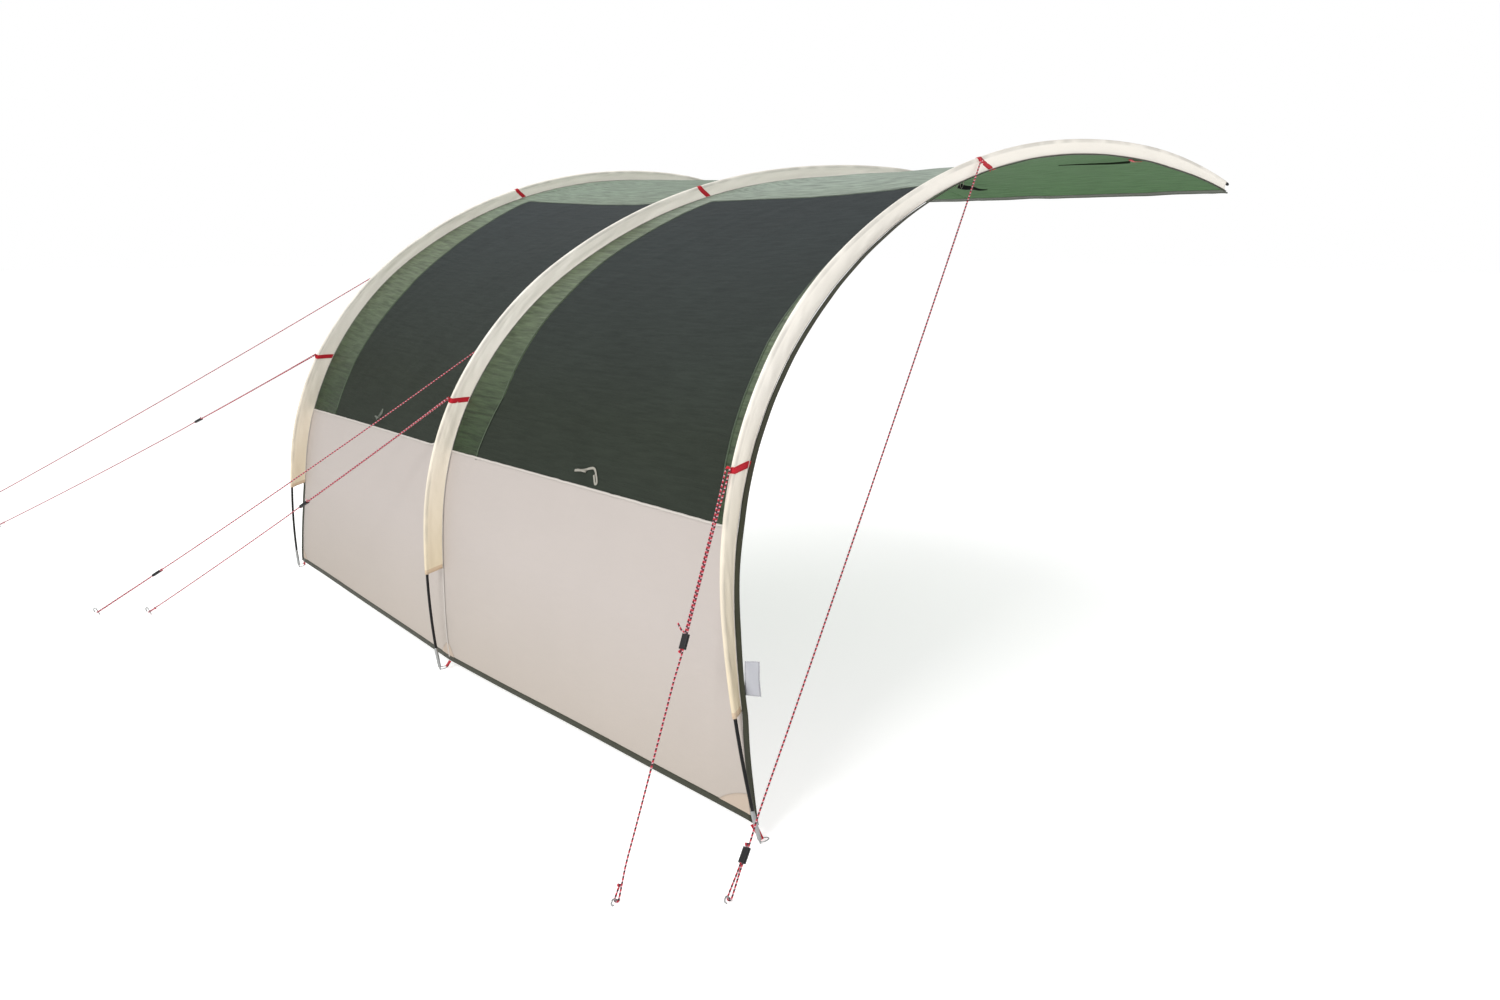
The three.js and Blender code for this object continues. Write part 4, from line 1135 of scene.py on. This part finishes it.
def add_patch(bay, at_end, wide, high):
    """A rounded reinforcement in a bottom corner of the wall."""
    name = f"{bay['name']}_{'front' if at_end else 'rear'}"

    def place(a, share):
        t = share * wide * math.cos(a) ** 1.6 / 2.0
        t = 1 - t - 0.002 if at_end else t + 0.002
        hem = lerp(bay["start"]["hem"], bay["end"]["hem"], t) + HEM_HEIGHT * 0.8
        s = hem + share * high * math.sin(a) ** 1.6
        return on_bay(bay, s, t, -0.0003), 2 * t, s

    mesh = grid_mesh(spread(0, math.pi / 2, 0.12), spread(0.0, 1, 0.1), place)
    patch = link(f"corner_patch_{name}", outer_face(mesh, bay, 0.1), PATCH)
    solidify(patch, 0.0003, 1.0)


def across_bays():
    """Places across both bays, from the rear arch to the front one."""
    return [(bay, t) for bay in BAYS for t in spread(0, 1, 0.01) if bay is REAR_BAY or t > 0]


def between(pairs):
    """Middles of the given pairs of points, and the directions from one to the other."""
    return [(a + b) / 2 for a, b in pairs], [(b - a).normalized() for a, b in pairs]


def add_ground_hem():
    pairs = []
    for bay, t in across_bays():
        low = lerp(bay["start"]["hem"], bay["end"]["hem"], t)
        pairs.append((on_bay(bay, low, t, 0.0006), on_bay(bay, low + HEM_HEIGHT, t, 0.0006)))
    link("hem_tape", ribbon_mesh(*between(pairs), HEM_HEIGHT, 0.0032), TAPE, stands_for="ground_hem")


def add_edge(arch, shift):
    """The folded strip of cloth beyond an end arch."""
    points, across, widths = [], [], []
    for s in spread(arch["hem"] + 0.002, ROOF_END, 0.014):
        wave = 0.0022 * noise.noise(Vector((s * 7, shift * 50, 1.0)))
        turned = EDGE_TURNED / EDGE if arch is FRONT else 1
        reach = shift * lerp(1, turned, clamp((s - 2.2) / 0.4))
        points.append(on_arch(arch, s, depth_at(arch, s) + 0.0015 + wave, reach / 2 + drawn_at(arch, s)))
        across.append(arch_frame(arch, s)[2])
        widths.append(abs(reach))
    strip = ribbon_mesh(points, across, widths, 0.0024)
    link(f"edge_tape_{arch['name']}", strip, TAPE, stands_for=f"edge_{arch['name']}")


def add_vehicle_edge():
    """Grey tape along the free edge, with the round bead that slides into a vehicle's rail."""
    places = across_bays()
    tape = ribbon_mesh(*between([(on_bay(bay, ROOF_END - 0.012, t, 0.0010), on_bay(bay, 4.380, t, 0.0010))
                                 for bay, t in places]), 0.032, 0.0030)
    link("rail_tape", tape, FAR_TAPE, stands_for="vehicle_edge")
    bead = [on_bay(bay, 4.3845, t, 0.0012) for bay, t in places]
    link("rail_bead", tube_mesh(bead, 0.0032, 12), FAR_TAPE)


def add_wall_join():
    """The stitched seam between the two walls, from the middle sleeve's end down to the ground."""
    places = spread(0.045, 0.44, 0.012)
    points = [on_arch(MIDDLE, s, depth_at(MIDDLE, s) - 0.0008) for s in places]
    across = [arch_frame(MIDDLE, s)[2] for s in places]
    link("wall_join", ribbon_mesh(points, across, 0.010, 0.0016), SEAM)


def add_root_piping(arch):
    """The sewn ridge where a sleeve meets the roof cloth."""
    name = arch["name"]
    points, across = [], []
    for s in spread(arch["sleeve"] + 0.02, ROOF_END - 0.004, 0.014):
        wave = 0.0006 * noise.noise(Vector((s * 40, 0, 9)))
        points.append(on_arch(arch, s, depth_at(arch, s) - 0.0016 + wave))
        across.append(arch_frame(arch, s)[2])
    link(f"sleeve_root_{name}", ribbon_mesh(points, across, 0.0085, 0.0022), SEAM)


LABEL_WIDE = 0.044
LABEL_HIGH = 0.105


def add_care_label():
    spot = on_arch(FRONT, 0.486, depth_at(FRONT, 0.486) + 0.004, -EDGE - 0.001)
    way = Vector((math.cos(-math.pi / 4), math.sin(-math.pi / 4), 0))
    off = Vector((way.y, -way.x, 0))

    def place(h, w):
        curl = 0.004 * math.sin(2.2 * (h + 0.5)) * w / LABEL_WIDE + 0.0025 * math.sin(w * 90 + h * 4)
        lean = 0.010 * max(0, -h) * w / LABEL_WIDE
        up = h * LABEL_HIGH
        return spot + way * (w + lean) + off * curl + Vector((0, 0, up)), up, w - LABEL_WIDE / 2

    mesh = grid_mesh(spread(-0.5, 0.5, 0.05), spread(0, LABEL_WIDE, LABEL_WIDE / 10), place)
    tag = link("care_tag", mesh, LABEL)
    solidify(tag, 0.0005)
    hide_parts("care_label")


def add_toggle(bay):
    """The light loop of the window cover's tie, with its bar."""
    name = bay["name"]
    s, t = bay["toggle"]
    ends = [on_bay(bay, s, t + d, -0.007) for d in (-0.014, -0.0135, -0.007, 0, 0.007, 0.0135, 0.014)]
    radii = [0.0030, 0.0042, 0.0042, 0.0034, 0.0042, 0.0042, 0.0030]
    webbing = LIGHT_WEBBING if bay is FRONT_BAY else SAGE_WEBBING
    bar = tube_mesh(ends, radii, 14)
    link(f"tie_bar_{name}", bar, webbing, f"toggle_{name}", f"toggle_{name}")
    if bay is FRONT_BAY:
        route = [(s - 0.004, t - 0.028), (s + 0.003, t), (s + 0.018, t + 0.036), (s - 0.002, t + 0.047),
                 (s - 0.034, t + 0.055), (s - 0.037, t + 0.050), (s - 0.006, t + 0.040)]
    else:
        route = [(s - 0.012, t - 0.010), (s + 0.006, t), (s + 0.030, t + 0.010), (s + 0.045, t + 0.014),
                 (s + 0.030, t + 0.017), (s + 0.004, t + 0.006)]
    path = rounded([on_bay(bay, a, b, -0.0018) for a, b in route], 0.003)
    ways, _ = frames_along(path)
    outward = -arch_frame(bay["start"], s)[1]
    across = [outward.cross(w) for w in ways]
    link(f"tie_loop_{name}", ribbon_mesh(path, across, 0.009, 0.0012), webbing)


def under_roof(route, width, name, material, depth=0.006, thickness=0.0015, hung=False):
    """A tie below the front bay's roof; route gives (s, t, depth) places, width may be a pair of ends."""
    path = rounded([on_bay(FRONT_BAY, s, t, depth + d) for s, t, d in route], 0.004)
    ways, _ = frames_along(path)
    inward = arch_frame(MIDDLE, route[0][0])[1]
    if isinstance(width, tuple):
        width = [lerp(*width, i / (len(path) - 1)) for i in range(len(path))]
    mesh = ribbon_mesh(path, [inward if hung else inward.cross(w) for w in ways], width, thickness)
    link(name, mesh, material)


def add_inner_details():
    """Ties under the roof: a black strap with two light loops by the free edge, a red tab, and a dark strip
    of painted shade along a tension crease.
    """
    route = [(4.020, 0.160, 0.0), (4.050, 0.172, 0.006), (4.085, 0.184, 0.003), (4.120, 0.196, 0.006),
             (4.150, 0.210, 0.0)]
    under_roof(route, (0.028, 0.003), "inner_strap", BLACK_WEBBING, 0.016, 0.002, True)
    for i, t in enumerate((0.186, 0.208)):
        route = [(3.956, t, 0.0), (3.954, t + 0.003, 0.022), (3.958, t + 0.007, 0.036),
                 (3.962, t + 0.010, 0.022), (3.960, t + 0.012, 0.0)]
        under_roof(route, 0.006, f"inner_loop_{i}", LIGHT_WEBBING)
    under_roof([(3.680, 0.992, 0.0), (3.715, 0.988, 0.003), (3.757, 0.992, 0.0)], 0.016, "inner_tab", WEBBING,
               0.004)
    # Painted shade: a dark strip along the tension crease that runs from the red tab.
    route = [(3.646, 0.770, 0.0), (3.668, 0.860, 0.001), (3.685, 0.930, 0.002), (3.696, 0.985, 0.002)]
    under_roof(route, (0.003, 0.010), "inner_crease_shade", CREASE_SHADE_GREEN, 0.009, 0.0015, True)


for bay in BAYS:
    add_seams(bay)
    add_toggle(bay)
add_patch(REAR_BAY, False, 0.06, 0.05)
add_patch(REAR_BAY, True, 0.07, 0.06)
add_patch(FRONT_BAY, False, 0.04, 0.06)
add_patch(FRONT_BAY, True, 0.16, 0.07)
add_ground_hem()
add_edge(REAR, EDGE)
add_edge(FRONT, -EDGE)
add_vehicle_edge()
add_wall_join()
for arch in ARCHES:
    add_root_piping(arch)
add_care_label()
add_inner_details()

# ------------------------------------------------------------------ studio
FLOOR_SIZE = 60
FLOOR_Z = -0.001


def add_floor():
    mesh = bpy.data.meshes.new("floor")
    corners = ((-1, -1), (1, -1), (1, 1), (-1, 1))
    mesh.from_pydata([(x * FLOOR_SIZE, y * FLOOR_SIZE, FLOOR_Z) for x, y in corners], [], [(0, 1, 2, 3)])
    floor = bpy.data.objects.new("floor", mesh)
    bpy.context.scene.collection.objects.link(floor)
    material, tree, shader = new_material("studio_floor")
    wire(tree, shader, {"Base Color": (0.9, 0.9, 0.9, 1), "Roughness": 0.9, "Specular IOR Level": 0.1,
                        "Emission Color": (1, 1, 1, 1), "Emission Strength": 0.52})
    mesh.materials.append(material)


def add_area(name, at, target, size, power):
    data = bpy.data.lights.new(name, "AREA")
    data.shape = "SQUARE"
    data.size = size
    data.energy = power
    light = bpy.data.objects.new(name, data)
    light.location = at
    light.rotation_mode = "QUATERNION"
    light.rotation_quaternion = (Vector(target) - Vector(at)).to_track_quat("-Z", "Y")
    bpy.context.scene.collection.objects.link(light)


def add_light():
    world = bpy.data.worlds.new("studio")
    world.use_nodes = True
    tree = world.node_tree
    height = node(tree, "SeparateXYZ", {0: node(tree, "TexCoord").outputs["Generated"]}).outputs[2]
    wire(tree, tree.nodes["Background"], {0: (1, 1, 1, 1), 1: ramp(tree, height, 0.24, 0.6, 1.0, 0.5)})
    bpy.context.scene.world = world
    add_area("key", (-6.0, -3.5, 5.5), (0.8, 0, 0.9), 2.6, 330)
    add_area("top", (1.2, 3.2, 6.0), (1.4, 1.2, 1.5), 4.0, 110)
    bpy.context.scene.view_settings.view_transform = "Standard"


add_floor()
add_light()
